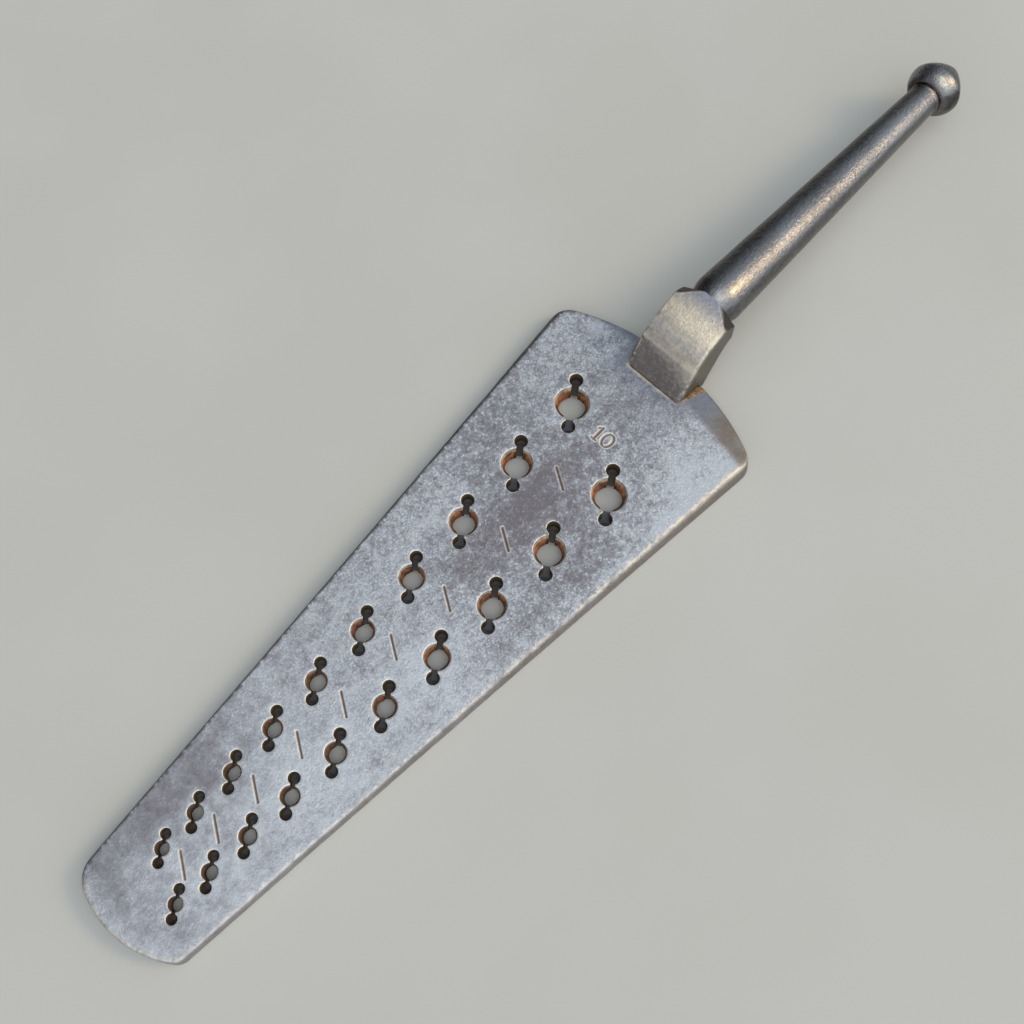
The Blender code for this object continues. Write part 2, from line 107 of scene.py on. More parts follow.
class Value:
    """What a node gives out. Numbers are added, subtracted and multiplied like plain ones."""

    def __init__(self, graph: "Graph", socket: bpy.types.NodeSocket) -> None:
        """Stand for one output of a node."""
        self.graph = graph
        self.socket = socket

    def __add__(self, other: "Value | float") -> "Value":
        """Sum with another number."""
        return self.graph.math("ADD", self, other)

    def __sub__(self, other: "Value | float") -> "Value":
        """This number less another one."""
        return self.graph.math("SUBTRACT", self, other)

    def __rsub__(self, other: float) -> "Value":
        """A plain number less this one."""
        return self.graph.math("SUBTRACT", other, self)

    def __mul__(self, other: "Value | float") -> "Value":
        """Product with another number."""
        return self.graph.math("MULTIPLY", self, other)


class Graph:
    """Nodes and links of one tree."""

    def __init__(self, tree: bpy.types.NodeTree) -> None:
        """Take over an empty tree."""
        self.tree = tree

    def feed(self, socket: bpy.types.NodeSocket, value: object) -> None:
        """Link a value to a node's input, or set a plain one there."""
        source = value.socket if isinstance(value, Value) else value
        if isinstance(source, bpy.types.NodeSocket):
            self.tree.links.new(source, socket)
        else:
            socket.default_value = source

    def node(self, kind: str, inputs: Inputs | None = None, **settings: object) -> bpy.types.Node:
        """Add one node.

        Args:
            kind: Blender's name of the node type.
            inputs: What goes into its sockets, by name or place: another node's value or a plain one.
            settings: The node's own properties.

        Returns:
            The new node.
        """
        node = self.tree.nodes.new(kind)
        for name, value in settings.items():
            setattr(node, name, value)
        for key, value in (inputs or {}).items():
            self.feed(node.inputs[key], value)
        return node

    def value(self, kind: str, inputs: Inputs | None = None, output: str | int = 0,
              **settings: object) -> Value:
        """Add one node and take what one of its outputs gives."""
        return Value(self, self.node(kind, inputs, **settings).outputs[output])

    def math(self, operation: str, first: object, second: object = 0.0, clamp: bool = False) -> Value:
        """Result of one operation on two numbers."""
        return self.value("ShaderNodeMath", {0: first, 1: second}, operation=operation, use_clamp=clamp)

    def mask(self, value: Value, low: float, high: float, bottom: float = 0.0, top: float = 1.0) -> Value:
        """Smooth step of a value between low and high, from bottom to top."""
        inputs = {"Value": value, "From Min": low, "From Max": high, "To Min": bottom, "To Max": top}
        return self.value("ShaderNodeMapRange", inputs, interpolation_type="SMOOTHSTEP")


@dataclass(frozen=True)
class Pattern:
    """Cloudy pattern.

    Attributes:
        size: Size of its largest blots in millimetres.
        detail: Number of finer layers.
        roughness: Weight of the finer layers.
        seed: Shift of the pattern in metres, which makes each pattern its own.
        scale: Stretch along each axis, for a pattern that isn't shifted.
    """
    size: float
    detail: float
    roughness: float
    seed: float = 0.0
    scale: tuple[float, float, float] | None = None


class Finish(Graph):
    """A Principled material under construction, with its patterns on Object coordinates."""

    def __init__(self, name: str) -> None:
        """Start a material of the given name."""
        self.material = bpy.data.materials.new(name)
        self.material.use_nodes = True
        super().__init__(self.material.node_tree)
        self.shader = self.tree.nodes["Principled BSDF"]
        self.place = self.value("ShaderNodeTexCoord", output="Object")

    def moved(self, **change: tuple[float, float, float]) -> Value:
        """Coordinates with a Location or a Scale of their own."""
        return self.value("ShaderNodeMapping", {"Vector": self.place, **change})

    def shifted(self, seed: float) -> Value:
        """Coordinates moved by a seed in metres."""
        return self.moved(Location=(seed, seed / 3, -seed))

    def noise(self, pattern: Pattern) -> Value:
        """Values round one half that follow a cloudy pattern."""
        place = self.moved(Scale=pattern.scale) if pattern.scale else self.shifted(pattern.seed)
        return self.value("ShaderNodeTexNoise", {
            "Vector": place, "Scale": 1000 / pattern.size, "Detail": pattern.detail,
            "Roughness": pattern.roughness, "Distortion": 0.0})

    def cells(self, size: float, seed: float) -> Value:
        """Distance from the middles of scattered cells, of the given size in millimetres."""
        return self.value("ShaderNodeTexVoronoi", {"Vector": self.shifted(seed), "Scale": 1000 / size})

    def pits(self, size: float, seed: float) -> Value:
        """Scattered round pits in cells of the given size in millimetres."""
        return self.mask(self.cells(size, seed), 0.08, 0.26, 1.0, 0.0)

    def mix(self, share: Value, first: object, second: object) -> Value:
        """Mix of two colours."""
        return self.value("ShaderNodeMix", {0: share, 6: first, 7: second}, 2, data_type="RGBA")

    def ramp(self, value: Value, stops: tuple[tuple[float, Colour], ...]) -> Value:
        """Colour of a value on a ramp of stops."""
        node = self.node("ShaderNodeValToRGB", {0: value})
        elements = node.color_ramp.elements
        while len(elements) < len(stops):
            elements.new(0.5)
        for element, (position, colour) in zip(elements, stops):
            element.position = position
            element.color = colour
        return Value(self, node.outputs[0])

    def attribute(self, name: str) -> Value:
        """Value that the mesh carries under a name."""
        return self.value("ShaderNodeAttribute", output="Fac", attribute_name=name)

    def bump(self, height: Value, depth: float) -> Value:
        """Normal of a height pattern that is the given millimetres deep."""
        return self.value("ShaderNodeBump", {"Height": height, "Distance": depth * MM, "Strength": 1.0})

    def finish(self, colour: Value, roughness: Value | float, normal: Value,
               metallic: float) -> bpy.types.Material:
        """Wire the patterns to the shader and hand over the material."""
        wanted = {"Base Color": colour, "Roughness": roughness, "Normal": normal, "Metallic": metallic}
        for name, value in wanted.items():
            self.feed(self.shader.inputs[name], value)
        return self.material


@dataclass(frozen=True)
class BladePatina:
    """Mottled blue-grey patina, worn silver in fine speckles, at rims and along edges."""
    name: str = "blade_patina"
    dark: Colour = srgb(121, 115, 122)
    middle: Colour = srgb(155, 156, 164)
    pale: Colour = srgb(196, 201, 209)
    flecks: Colour = srgb(222, 229, 240)
    bright: Colour = srgb(236, 232, 224)
    edge_cream: Colour = srgb(232, 216, 190)
    blue_band: Colour = srgb(122, 128, 144)
    brown_band: Colour = srgb(122, 107, 91)
    stamp_brown: Colour = srgb(132, 113, 98)
    rust: Colour = srgb(222, 180, 140)
    edge_olive: Colour = srgb(128, 112, 88)
    edge_dark: Colour = srgb(64, 60, 62)
    clouds: Pattern = Pattern(26.0, 3.0, 0.55, 1.3)
    patches: Pattern = Pattern(4.0, 5.0, 0.62, 4.1)
    speckle: Pattern = Pattern(1.2, 4.0, 0.72, 7.7)
    grain: Pattern = Pattern(0.5, 3.0, 0.75, 2.9)
    crisp_run: Span = (-0.13, -0.02)
    crisp_range: Span = (0.30, 1.0)
    lightness_range: Span = (0.08, 0.98)
    roughness: Span = (0.56, 0.42)
    metallic: float = 0.5

    def build(self) -> bpy.types.Material:
        """Make the material."""
        draft = Finish(self.name)
        clouds, patches, speckle, grain = (
            draft.noise(pattern) for pattern in (self.clouds, self.patches, self.speckle, self.grain))
        along = draft.value("ShaderNodeSeparateXYZ", {0: draft.place})
        crispness = draft.mask(along, *self.crisp_run, *self.crisp_range)
        coarse = clouds * 0.50 + patches * 0.84 - 0.14
        fine = (speckle * 1.1 + grain * 0.6 - 0.85) * (crispness * 1.15)
        rim = draft.attribute("rim_wear")
        lightness = coarse + fine + draft.attribute("tone") + rim * 0.16
        colour = draft.ramp(draft.mask(lightness, *self.lightness_range), (
            (0.0, self.dark), (0.48, self.middle), (1.0, self.pale)))
        worn = draft.mask(grain, 0.53, 0.64) * draft.mask(lightness, 0.35, 0.75, 0.1, 0.8)
        colour = draft.mix(worn * crispness, colour, self.flecks)
        # Painted shade on the hammered slopes, blue-grey on the left and brown on the right
        band = draft.mix(draft.attribute("slope_brown"), self.blue_band, self.brown_band)
        band = draft.mix(draft.mask(patches, 0.35, 0.75, 0.0, 0.35), band, self.middle)
        colour = draft.mix(draft.attribute("rim_slope") * 0.9, colour, band)
        lip = draft.mask(rim, 0.70, 0.97) * draft.mask(speckle, 0.30, 0.55)
        colour = draft.mix(lip, colour, self.bright)
        # Painted shade on the drafted side faces, olive as the table's reflection
        side = draft.mix(draft.mask(speckle, 0.35, 0.65), self.edge_olive, self.dark)
        colour = draft.mix(draft.attribute("edge_side"), colour, side)
        # Painted highlight along the edges that face the light and along the step at the foot
        pale_share = draft.attribute("edge_wear") * draft.mask(patches, 0.34, 0.56, 0.25, 1.0)
        colour = draft.mix(pale_share, colour, self.edge_cream)
        # Rust in the notches, in a pale tone where painted light falls
        rusted = draft.mix(draft.mask(speckle, 0.40, 0.62), self.rust, self.edge_olive)
        # Painted shade along the edges away from the light; then the stamps' bright lips and brown fill, and
        # the notch rust
        for name, layer in (("edge_shade", self.edge_dark), ("stamp_lip", self.bright),
                            ("stamp", self.stamp_brown), ("rust", rusted)):
            colour = draft.mix(draft.attribute(name), colour, layer)
        pits = draft.mask(draft.cells(0.8, 5.0), 0.05, 0.30)
        normal = draft.bump(speckle * 1.1 + grain * 0.7 + pits * 0.35, 0.085)
        roughness = draft.mask(lightness, *self.lightness_range, *self.roughness)
        return draft.finish(colour, roughness, normal, self.metallic)


@dataclass(frozen=True)
class BoreRust:
    """Rusted walls of the holes: tan mouths, orange threads and olive reliefs, with painted shade that
    darkens the depths and browns the small holes and the walls away from the light, and a painted shadow of
    the floor under the lower reliefs.
    """
    name: str = "bore_rust"
    orange: Colour = srgb(184, 102, 38)
    brown: Colour = srgb(60, 36, 18)
    olive: Colour = srgb(104, 84, 56)
    black: Colour = srgb(48, 40, 30)
    tan: Colour = srgb(196, 180, 160)
    grey: Colour = srgb(140, 132, 124)
    slate: Colour = srgb(92, 94, 102)
    blots: Pattern = Pattern(1.6, 5.0, 0.65, 1.0)
    grain: Pattern = Pattern(0.35, 3.0, 0.6, 2.0)
    roughness: float = 0.62
    metallic: float = 0.25

    def build(self) -> bpy.types.Material:
        """Make the material."""
        draft = Finish(self.name)
        blots, grain = draft.noise(self.blots), draft.noise(self.grain)
        sunk = draft.attribute("sunk")
        orange = draft.mix(draft.mask(blots, 0.42, 0.62), self.orange, self.brown)
        # Painted shade: the threads darken towards black deeper in the hole
        orange = draft.mix(draft.mask(sunk, 0.55, 1.0, 0.0, 0.85), orange, self.black)
        # Painted shade in the brown of rust, on small holes and on the walls away from the light
        orange = draft.mix(draft.attribute("old_rust"), orange, self.brown)
        bell = draft.mix(draft.mask(blots, 0.36, 0.62), self.tan, self.grey)
        threads = draft.mix(draft.attribute("lip"), orange, bell)
        # Painted shade: the reliefs darken towards black deeper down
        reliefs = draft.mix(draft.mask(sunk + blots * 0.3, 0.15, 0.85), self.olive, self.black)
        # Painted shadow of the floor, seen through the lower reliefs
        floor_shadow = draft.attribute("slate") * draft.mask(blots, 0.3, 0.6, 0.6, 1.0)
        reliefs = draft.mix(floor_shadow, reliefs, self.slate)
        colour = draft.mix(draft.attribute("thread_wall"), reliefs, threads)
        return draft.finish(colour, self.roughness, draft.bump(blots + grain * 0.6, 0.09), self.metallic)


@dataclass(frozen=True)
class NeckSteel:
    """Pitted grey-beige steel of the neck, with painted light and shade along its face, a painted reflection
    of the sky, and painted shade that makes its sides olive and its shoulder facets brown.
    """
    name: str = "neck_steel"
    dark: Colour = srgb(127, 118, 114)
    middle: Colour = srgb(186, 176, 167)
    pale: Colour = srgb(236, 221, 198)
    bright: Colour = srgb(244, 232, 212)
    sky_reflection: Colour = srgb(150, 156, 174)
    hollow: Colour = srgb(112, 102, 94)
    side_olive: Colour = srgb(92, 88, 76)
    shoulder_brown: Colour = srgb(58, 51, 47)
    patches: Pattern = Pattern(6.0, 4.0, 0.6, 2.2)
    mottle: Pattern = Pattern(1.1, 5.0, 0.76, 6.0)
    scratches: Pattern = Pattern(0.5, 2.0, 0.6, scale=(0.12, 1.0, 0.12))
    roughness: Span = (0.50, 0.38)
    metallic: float = 0.55

    def build(self) -> bpy.types.Material:
        """Make the material."""
        draft = Finish(self.name)
        patches, mottle = draft.noise(self.patches), draft.noise(self.mottle)
        # Painted light and shade along the face: lightest on the top, darkest on the steep foot
        lightness = patches * 0.35 + mottle * 1.35 - 0.85 + draft.attribute("polish")
        colour = draft.ramp(lightness, ((0.0, self.dark), (0.5, self.middle), (1.0, self.pale)))
        # Painted reflection of the sky: blue across the face and on the top
        colour = draft.mix(draft.attribute("sheen"), colour, self.sky_reflection)
        pits = draft.pits(0.6, 1.0) * draft.mask(mottle, 0.42, 0.55)
        colour = draft.mix(pits * 0.45, colour, self.hollow)
        # Bright along the edge breaks: worn, and partly a painted highlight
        colour = draft.mix(draft.attribute("edge_wear") * draft.mask(mottle, 0.42, 0.62), colour, self.bright)
        # Painted shade: olive on the sides and brown on the shoulder facets
        olive = draft.mix(draft.mask(mottle, 0.35, 0.9), self.side_olive, self.hollow)
        colour = draft.mix(draft.attribute("side_wall"), colour, olive)
        colour = draft.mix(draft.attribute("shoulder"), colour, self.shoulder_brown)
        normal = draft.bump(mottle - pits * 0.7 + draft.noise(self.scratches) * 0.3, 0.20)
        return draft.finish(colour, draft.mask(lightness, 0.1, 0.9, *self.roughness), normal, self.metallic)


@dataclass(frozen=True)
class HandleSteel:
    """Dark steel of the handle, filed crosswise, with painted shade on its flanks and the knob's nose and
    painted highlights on the knob's cheek and the root.
    """
    name: str = "handle_steel"
    dark: Colour = srgb(110, 104, 101)
    middle: Colour = srgb(134, 133, 135)
    pale: Colour = srgb(150, 151, 155)
    pit: Colour = srgb(66, 58, 53)
    flank: Colour = srgb(46, 38, 31)
    collar: Colour = srgb(124, 88, 70)
    rubbed: Colour = srgb(244, 226, 196)
    patches: Pattern = Pattern(14.0, 3.0, 0.6, 3.3)
    mottle: Pattern = Pattern(1.2, 4.0, 0.7, 5.5)
    grain: Pattern = Pattern(0.5, 3.0, 0.7, scale=(0.45, 1.0, 1.0))
    lightness_range: Span = (0.28, 0.56)
    roughness: Span = (0.31, 0.22)
    metallic: float = 1.0

    def build(self) -> bpy.types.Material:
        """Make the material."""
        draft = Finish(self.name)
        patches, mottle, grain = (draft.noise(pattern) for pattern in (self.patches, self.mottle, self.grain))
        lightness = patches * 0.30 + mottle * 0.30 + grain * 0.25
        colour = draft.ramp(draft.mask(lightness, *self.lightness_range), (
            (0.0, self.dark), (0.35, self.middle), (1.0, self.pale)))
        pits = draft.pits(0.75, 2.0) * draft.mask(mottle, 0.46, 0.60)
        colour = draft.mix(pits * 0.7, colour, self.pit)
        # Painted shade: the flanks, the left one most, and the knob's nose darken
        flank = draft.attribute("flank") * draft.mask(mottle, 0.30, 0.62, 1.0, 0.80)
        colour = draft.mix(flank, colour, self.flank)
        colour = draft.mix(draft.attribute("collar"), colour, self.collar)
        # Painted highlights on the knob's cheek and at the root
        rubbed = draft.attribute("rubbed") * draft.mask(mottle, 0.36, 0.54, 0.45, 1.0)
        colour = draft.mix(rubbed, colour, self.rubbed)
        normal = draft.bump(grain + mottle * 0.6 - pits * 0.5, 0.12)
        roughness = draft.mask(lightness, *self.lightness_range, *self.roughness)
        return draft.finish(colour, roughness, normal, self.metallic)


@dataclass(frozen=True)
class TablePaint:
    """Plain pale grey-green table."""
    name: str = "table_paint"
    plain: Colour = srgb(197, 196, 192)
    cloudy: Colour = srgb(194, 193, 188)
    clouds: Pattern = Pattern(60.0, 3.0, 0.5, 1.0)
    grain: Pattern = Pattern(1.2, 3.0, 0.6, 2.0)

    def build(self) -> bpy.types.Material:
        """Make the material."""
        draft = Finish(self.name)
        colour = draft.mix(draft.mask(draft.noise(self.clouds), 0.35, 0.65), self.plain, self.cloudy)
        return draft.finish(colour, 0.85, draft.bump(draft.noise(self.grain), 0.01), 0.0)


@dataclass
class Skin:
    """Mesh being collected: points in millimetres, faces, and values that the material reads."""
    name: str
    points: list[np.ndarray] = field(default_factory=list)
    faces: list[tuple[int, ...]] = field(default_factory=list)
    values: dict[str, list[np.ndarray]] = field(default_factory=dict)
    count: int = 0

    def add(self, points: np.ndarray, faces: list[tuple[int, ...]], **values: np.ndarray) -> int:
        """Append points and the faces between them.

        Args:
            points: Array of shape (n, 3) in millimetres.
            faces: Faces that count from the first of these points.
            values: One value for each point, for each named attribute.

        Returns:
            Place of the first point.
        """
        start = self.count
        self.points.append(points)
        self.faces += [tuple(index + start for index in face) for face in faces]
        for name in set(self.values) | set(values):
            held = self.values.setdefault(name, [np.zeros(start)] if start else [])
            held.append(np.asarray(values.get(name, np.zeros(len(points))), float))
        self.count += len(points)
        return start

    def build(self, material: bpy.types.Material, sharp_degrees: float = 40.0) -> bpy.types.Object:
        """Object of the collected mesh, merged, and shaded smooth but for its sharp corners.

        Args:
            material: Material of the whole piece.
            sharp_degrees: Angle between two faces from which their edge stays sharp.

        Returns:
            The piece, linked to the scene.
        """
        mesh = bpy.data.meshes.new(self.name)
        points = np.concatenate(self.points) * MM
        mesh.from_pydata(points.tolist(), [], self.faces)
        for name, held in self.values.items():
            layer = mesh.attributes.new(name, "FLOAT", "POINT")
            layer.data.foreach_set("value", np.concatenate(held).astype(np.float32))
        builder = bmesh.new()
        builder.from_mesh(mesh)
        bmesh.ops.remove_doubles(builder, verts=builder.verts, dist=0.002 * MM)
        builder.to_mesh(mesh)
        builder.free()
        mesh.shade_smooth()
        mesh.set_sharp_from_angle(angle=math.radians(sharp_degrees))
        mesh.materials.append(material)
        piece = bpy.data.objects.new(self.name, mesh)
        bpy.context.scene.collection.objects.link(piece)
        return piece


def ring_faces(rows: int, columns: int, closed: bool = True) -> list[tuple[int, ...]]:
    """Quads between rows of points; closed joins the last column to the first."""
    faces = []
    for row in range(rows - 1):
        for column in range(columns if closed else columns - 1):
            following = (column + 1) % columns
            faces.append((row * columns + column, row * columns + following,
                          (row + 1) * columns + following, (row + 1) * columns + column))
    return faces


def inside(points: np.ndarray, polygon: np.ndarray) -> np.ndarray:
    """Whether each point lies inside a polygon."""
    result = np.zeros(len(points), bool)
    low, high = polygon.min(0), polygon.max(0)
    near = np.where(((points >= low) & (points <= high)).all(1))[0]
    x, y = points[near, 0], points[near, 1]
    hit = np.zeros(len(near), bool)
    for (x0, y0), (x1, y1) in zip(polygon, np.roll(polygon, -1, axis=0)):
        if y0 == y1:
            continue
        crosses = (y0 > y) != (y1 > y)
        hit ^= crosses & (x < (x1 - x0) * (y - y0) / (y1 - y0) + x0)
    result[near] = hit
    return result


def nearest(points: np.ndarray, targets: np.ndarray) -> tuple[np.ndarray, np.ndarray]:
    """Which of the targets is nearest to each point in the plane, and how far away it is."""
    tree = kdtree.KDTree(len(targets))
    for index, (x, y) in enumerate(targets):
        tree.insert((x, y, 0.0), index)
    tree.balance()
    found = [tree.find((x, y, 0.0)) for x, y in points]
    return np.array([index for _, index, _ in found]), np.array([away for _, _, away in found])


def distances(points: np.ndarray, targets: np.ndarray) -> np.ndarray:
    """Distance of each point to the nearest of the targets, in the plane."""
    return nearest(points, targets)[1]


def face_outwards(piece: bpy.types.Object) -> None:
    """Turn all faces of a closed piece outwards."""
    builder = bmesh.new()
    builder.from_mesh(piece.data)
    bmesh.ops.recalc_face_normals(builder, faces=builder.faces)
    builder.to_mesh(piece.data)
    builder.free()


def soft_corner(before: np.ndarray, corner: np.ndarray, after: np.ndarray, steps: int) -> np.ndarray:
    """Points of a soft corner, between a point before it and a point after it."""
    share = np.linspace(0.0, 1.0, steps + 1)[:, None]
    first = before + (corner - before) * share
    second = corner + (after - corner) * share
    return first + (second - first) * share


def arc(centre: tuple[float, float], radius: float, first: float, last: float, steps: int) -> np.ndarray:
    """Points along an arc, both ends included."""
    angle = np.linspace(first, last, steps + 1)
    return np.stack([centre[0] + radius * np.cos(angle), centre[1] + radius * np.sin(angle)], axis=1)


@dataclass(frozen=True)
class Layout:
    """Overall sizes that the sub-assemblies share, in millimetres."""
    blade_length: float = 179.4
    foot_setback: float = 8.1
    neck_reach: float = 17.6
    neck_foot_width: float = 16.2
    handle_flare: float = 4.1
    handle_length: float = 84.0
    knob_length: float = 12.9
    handle_drop: float = math.radians(4.0)
    handle_root_height: float = 17.85
    end_draft: float = 0.5

    @property
    def foot(self) -> float:
        """Station of the neck's foot."""
        return self.blade_length - self.foot_setback

    @property
    def handle_root(self) -> float:
        """Station of the handle's root."""
        return self.foot + self.neck_reach + self.handle_flare

    @property
    def centre(self) -> float:
        """Station under the middle of the tool."""
        tip = self.handle_root + (self.handle_length + self.knob_length) * math.cos(self.handle_drop)
        return (tip - self.end_draft) / 2

    def world(self, points: np.ndarray) -> np.ndarray:
        """Points with stations turned into world X, still in millimetres."""
        moved = np.array(points, float)
        moved[:, 0] -= self.centre
        return moved


@dataclass(frozen=True)
class Figure:
    """One threaded hole with a relief hole and a slot on both sides. Step 0 is the largest."""
    station: float
    offset: float
    step: int
    steps: int = 10
    rim_largest: float = 4.3
    ratio: float = 0.9
    angle: float = math.radians(33.0)
    land: float = 0.15
    chamfer: float = 0.3
    relief_tapers: tuple[float, float] = (0.62, 0.40)
    slot_tapers: tuple[float, float] = (0.95, 0.5)
    hole_steps: int = 22
    relief_steps: int = 18

    @property
    def share(self) -> float:
        """0 at the largest figure and 1 at the smallest."""
        return self.step / (self.steps - 1)

    @property
    def rim(self) -> float:
        """Radius of the bell mouth at the top face."""
        return self.rim_largest * self.ratio ** self.step

    @property
    def throat(self) -> float:
        """Radius at the crests of the threads."""
        return self.rim - blend(1.0, 0.25, self.share)

    @property
    def bell_depth(self) -> float:
        """Depth of the bell mouth."""
        return blend(1.3, 0.6, self.share)

    @property
    def relief(self) -> float:
        """Radius of the relief holes at the top face."""
        return blend(1.72, 1.25, self.share)

    @property
    def foot_taper(self) -> float:
        """Size of a relief hole at the underside, as a share of its size at the top."""
        return blend(self.relief_tapers[0], self.relief_tapers[1], self.share)

    @property
    def slot_taper(self) -> float:
        """Width of a slot at the underside, as a share of its width at the top."""
        return blend(self.slot_tapers[0], self.slot_tapers[1], self.share)

    @property
    def slot_half(self) -> float:
        """Half the width of the slots."""
        return blend(1.8, 0.85, self.share) / 2

    @property
    def pitch(self) -> float:
        """Distance from the hole's centre to a relief hole's."""
        return self.rim + self.relief + self.land

    @property
    def lead(self) -> float:
        """Lead of the thread."""
        return blend(1.0, 0.45, self.share)

    def outline(self, hole: float, relief: float, slot_half: float) -> np.ndarray:
        """Closed outline in stations and Y, counter-clockwise, for the given radii and slot."""
        hole_angle = math.asin(slot_half / hole)
        relief_angle = math.asin(slot_half / relief)
        parts = []
        for direction in (1, -1):
            turn = 0.0 if direction == 1 else math.pi
            parts.append(arc((self.pitch * direction, 0.0), relief, turn - math.pi + relief_angle,
                             turn + math.pi - relief_angle, self.relief_steps))
            parts.append(arc((0.0, 0.0), hole, turn + hole_angle, turn + math.pi - hole_angle,
                             self.hole_steps))
        return self.placed(np.concatenate(parts))

    def placed(self, local: np.ndarray) -> np.ndarray:
        """Points given along and across the figure, in stations and Y."""
        cos, sin = math.cos(self.angle), math.sin(self.angle)
        return np.stack([self.station + local[:, 0] * cos - local[:, 1] * sin,
                         self.offset + local[:, 0] * sin + local[:, 1] * cos], axis=1)

    def rim_outline(self, outwards: float = 0.0) -> np.ndarray:
        """Outline at the top face, moved outwards by a distance."""
        return self.outline(self.rim + outwards, self.relief + outwards, self.slot_half + outwards)

    def foot_outline(self) -> np.ndarray:
        """Outline at the underside."""
        slot_half = self.slot_half * self.slot_taper
        return self.outline(self.throat + self.chamfer, self.relief * self.foot_taper, slot_half)

    def hole_columns(self) -> np.ndarray:
        """1 for the outline points that lie on the threaded hole, and 0 for those of the reliefs."""
        part = [0.0] * (self.relief_steps + 1) + [1.0] * (self.hole_steps + 1)
        return np.array(part * 2)


@dataclass(frozen=True)
class ToneZone:
    """Broad area of the top face that is coloured lighter, or darker, than the rest."""
    station: float
    offset: float
    reach: float
    breadth: float
    lift: float

    def tone(self, points: np.ndarray) -> np.ndarray:
        """Share that the area adds to the tone of each point."""
        along = (points[:, 0] - self.station) / self.reach
        across = (points[:, 1] - self.offset) / self.breadth
        return self.lift * np.exp(-along ** 2 - across ** 2)


@dataclass(frozen=True)
class Row:
    """One row of figures: distances of its ends from the blade's ends, growth of the gaps, and offsets."""
    side: Side
    ends: tuple[float, float]
    growth: float
    offsets: tuple[float, float]

    def figures(self, blade_length: float, count: int = 10) -> list[Figure]:
        """The row's figures, from the smallest to the largest."""
        gaps = count - 1
        run = blade_length - self.ends[0] - self.ends[1]
        first_gap = run / (gaps * (1 + self.growth) / 2)
        found, distance = [], 0.0
        for index in range(count):
            offset = blend(self.offsets[0], self.offsets[1], distance / run)
            found.append(Figure(self.ends[0] + distance, offset, count - 1 - index))
            distance += blend(first_gap, first_gap * self.growth, index / (gaps - 1))
        return found


@dataclass(frozen=True)
class Stroke:
    """One straight stroke cut by a chisel or a stamp, in stations and Y."""
    start: tuple[float, float]
    end: tuple[float, float]
    half_width: float
    depth: float

    def cover(self, points: np.ndarray) -> np.ndarray:
        """How deep each point lies in the stroke: 1 on its centre line, 0 on its edge, below 0 outside."""
        start, end = np.array(self.start), np.array(self.end)
        along = end - start
        share = np.clip(((points - start) @ along) / (along @ along), 0.0, 1.0)
        away = np.linalg.norm(points - (start + share[:, None] * along), axis=1)
        return 1 - away / self.half_width

    def grid(self, spacing: float = 0.14, margin: float = 0.55) -> np.ndarray:
        """Points that follow the stroke closely enough to draw it."""
        start, end = np.array(self.start), np.array(self.end)
        length = np.linalg.norm(end - start)
        along = (end - start) / length
        across = np.array([-along[1], along[0]])
        half = self.half_width + margin
        lengthwise = np.arange(-half, length + half, spacing)
        sideways = np.linspace(-half, half, 2 * round(half / spacing) + 1)
        u, v = np.meshgrid(lengthwise, sideways)
        return start + u.reshape(-1, 1) * along + v.reshape(-1, 1) * across


@dataclass(frozen=True)
class Loop:
    """The round stroke of a stamped nought, in stations and Y."""
    centre: tuple[float, float]
    half_height: float
    half_length: float
    half_width: float
    depth: float

    def cover(self, points: np.ndarray) -> np.ndarray:
        """How deep each point lies in the stroke, as for a straight stroke."""
        u = (points[:, 0] - self.centre[0]) / self.half_height
        v = (points[:, 1] - self.centre[1]) / self.half_length
        radius = np.hypot(u, v)
        share = np.abs(v) / np.maximum(radius, 1e-6)
        mean = blend(self.half_height, self.half_length, share)
        width = self.half_width * blend(0.72, 1.12, share)
        return 1 - np.abs(radius - 1) * mean / width

    def grid(self, spacing: float = 0.12) -> np.ndarray:
        """Points over the whole nought."""
        half = max(self.half_height, self.half_length) + self.half_width + 0.5
        steps = np.arange(-half, half, spacing)
        u, v = np.meshgrid(steps, steps)
        return np.stack([u.ravel() + self.centre[0], v.ravel() + self.centre[1]], axis=1)


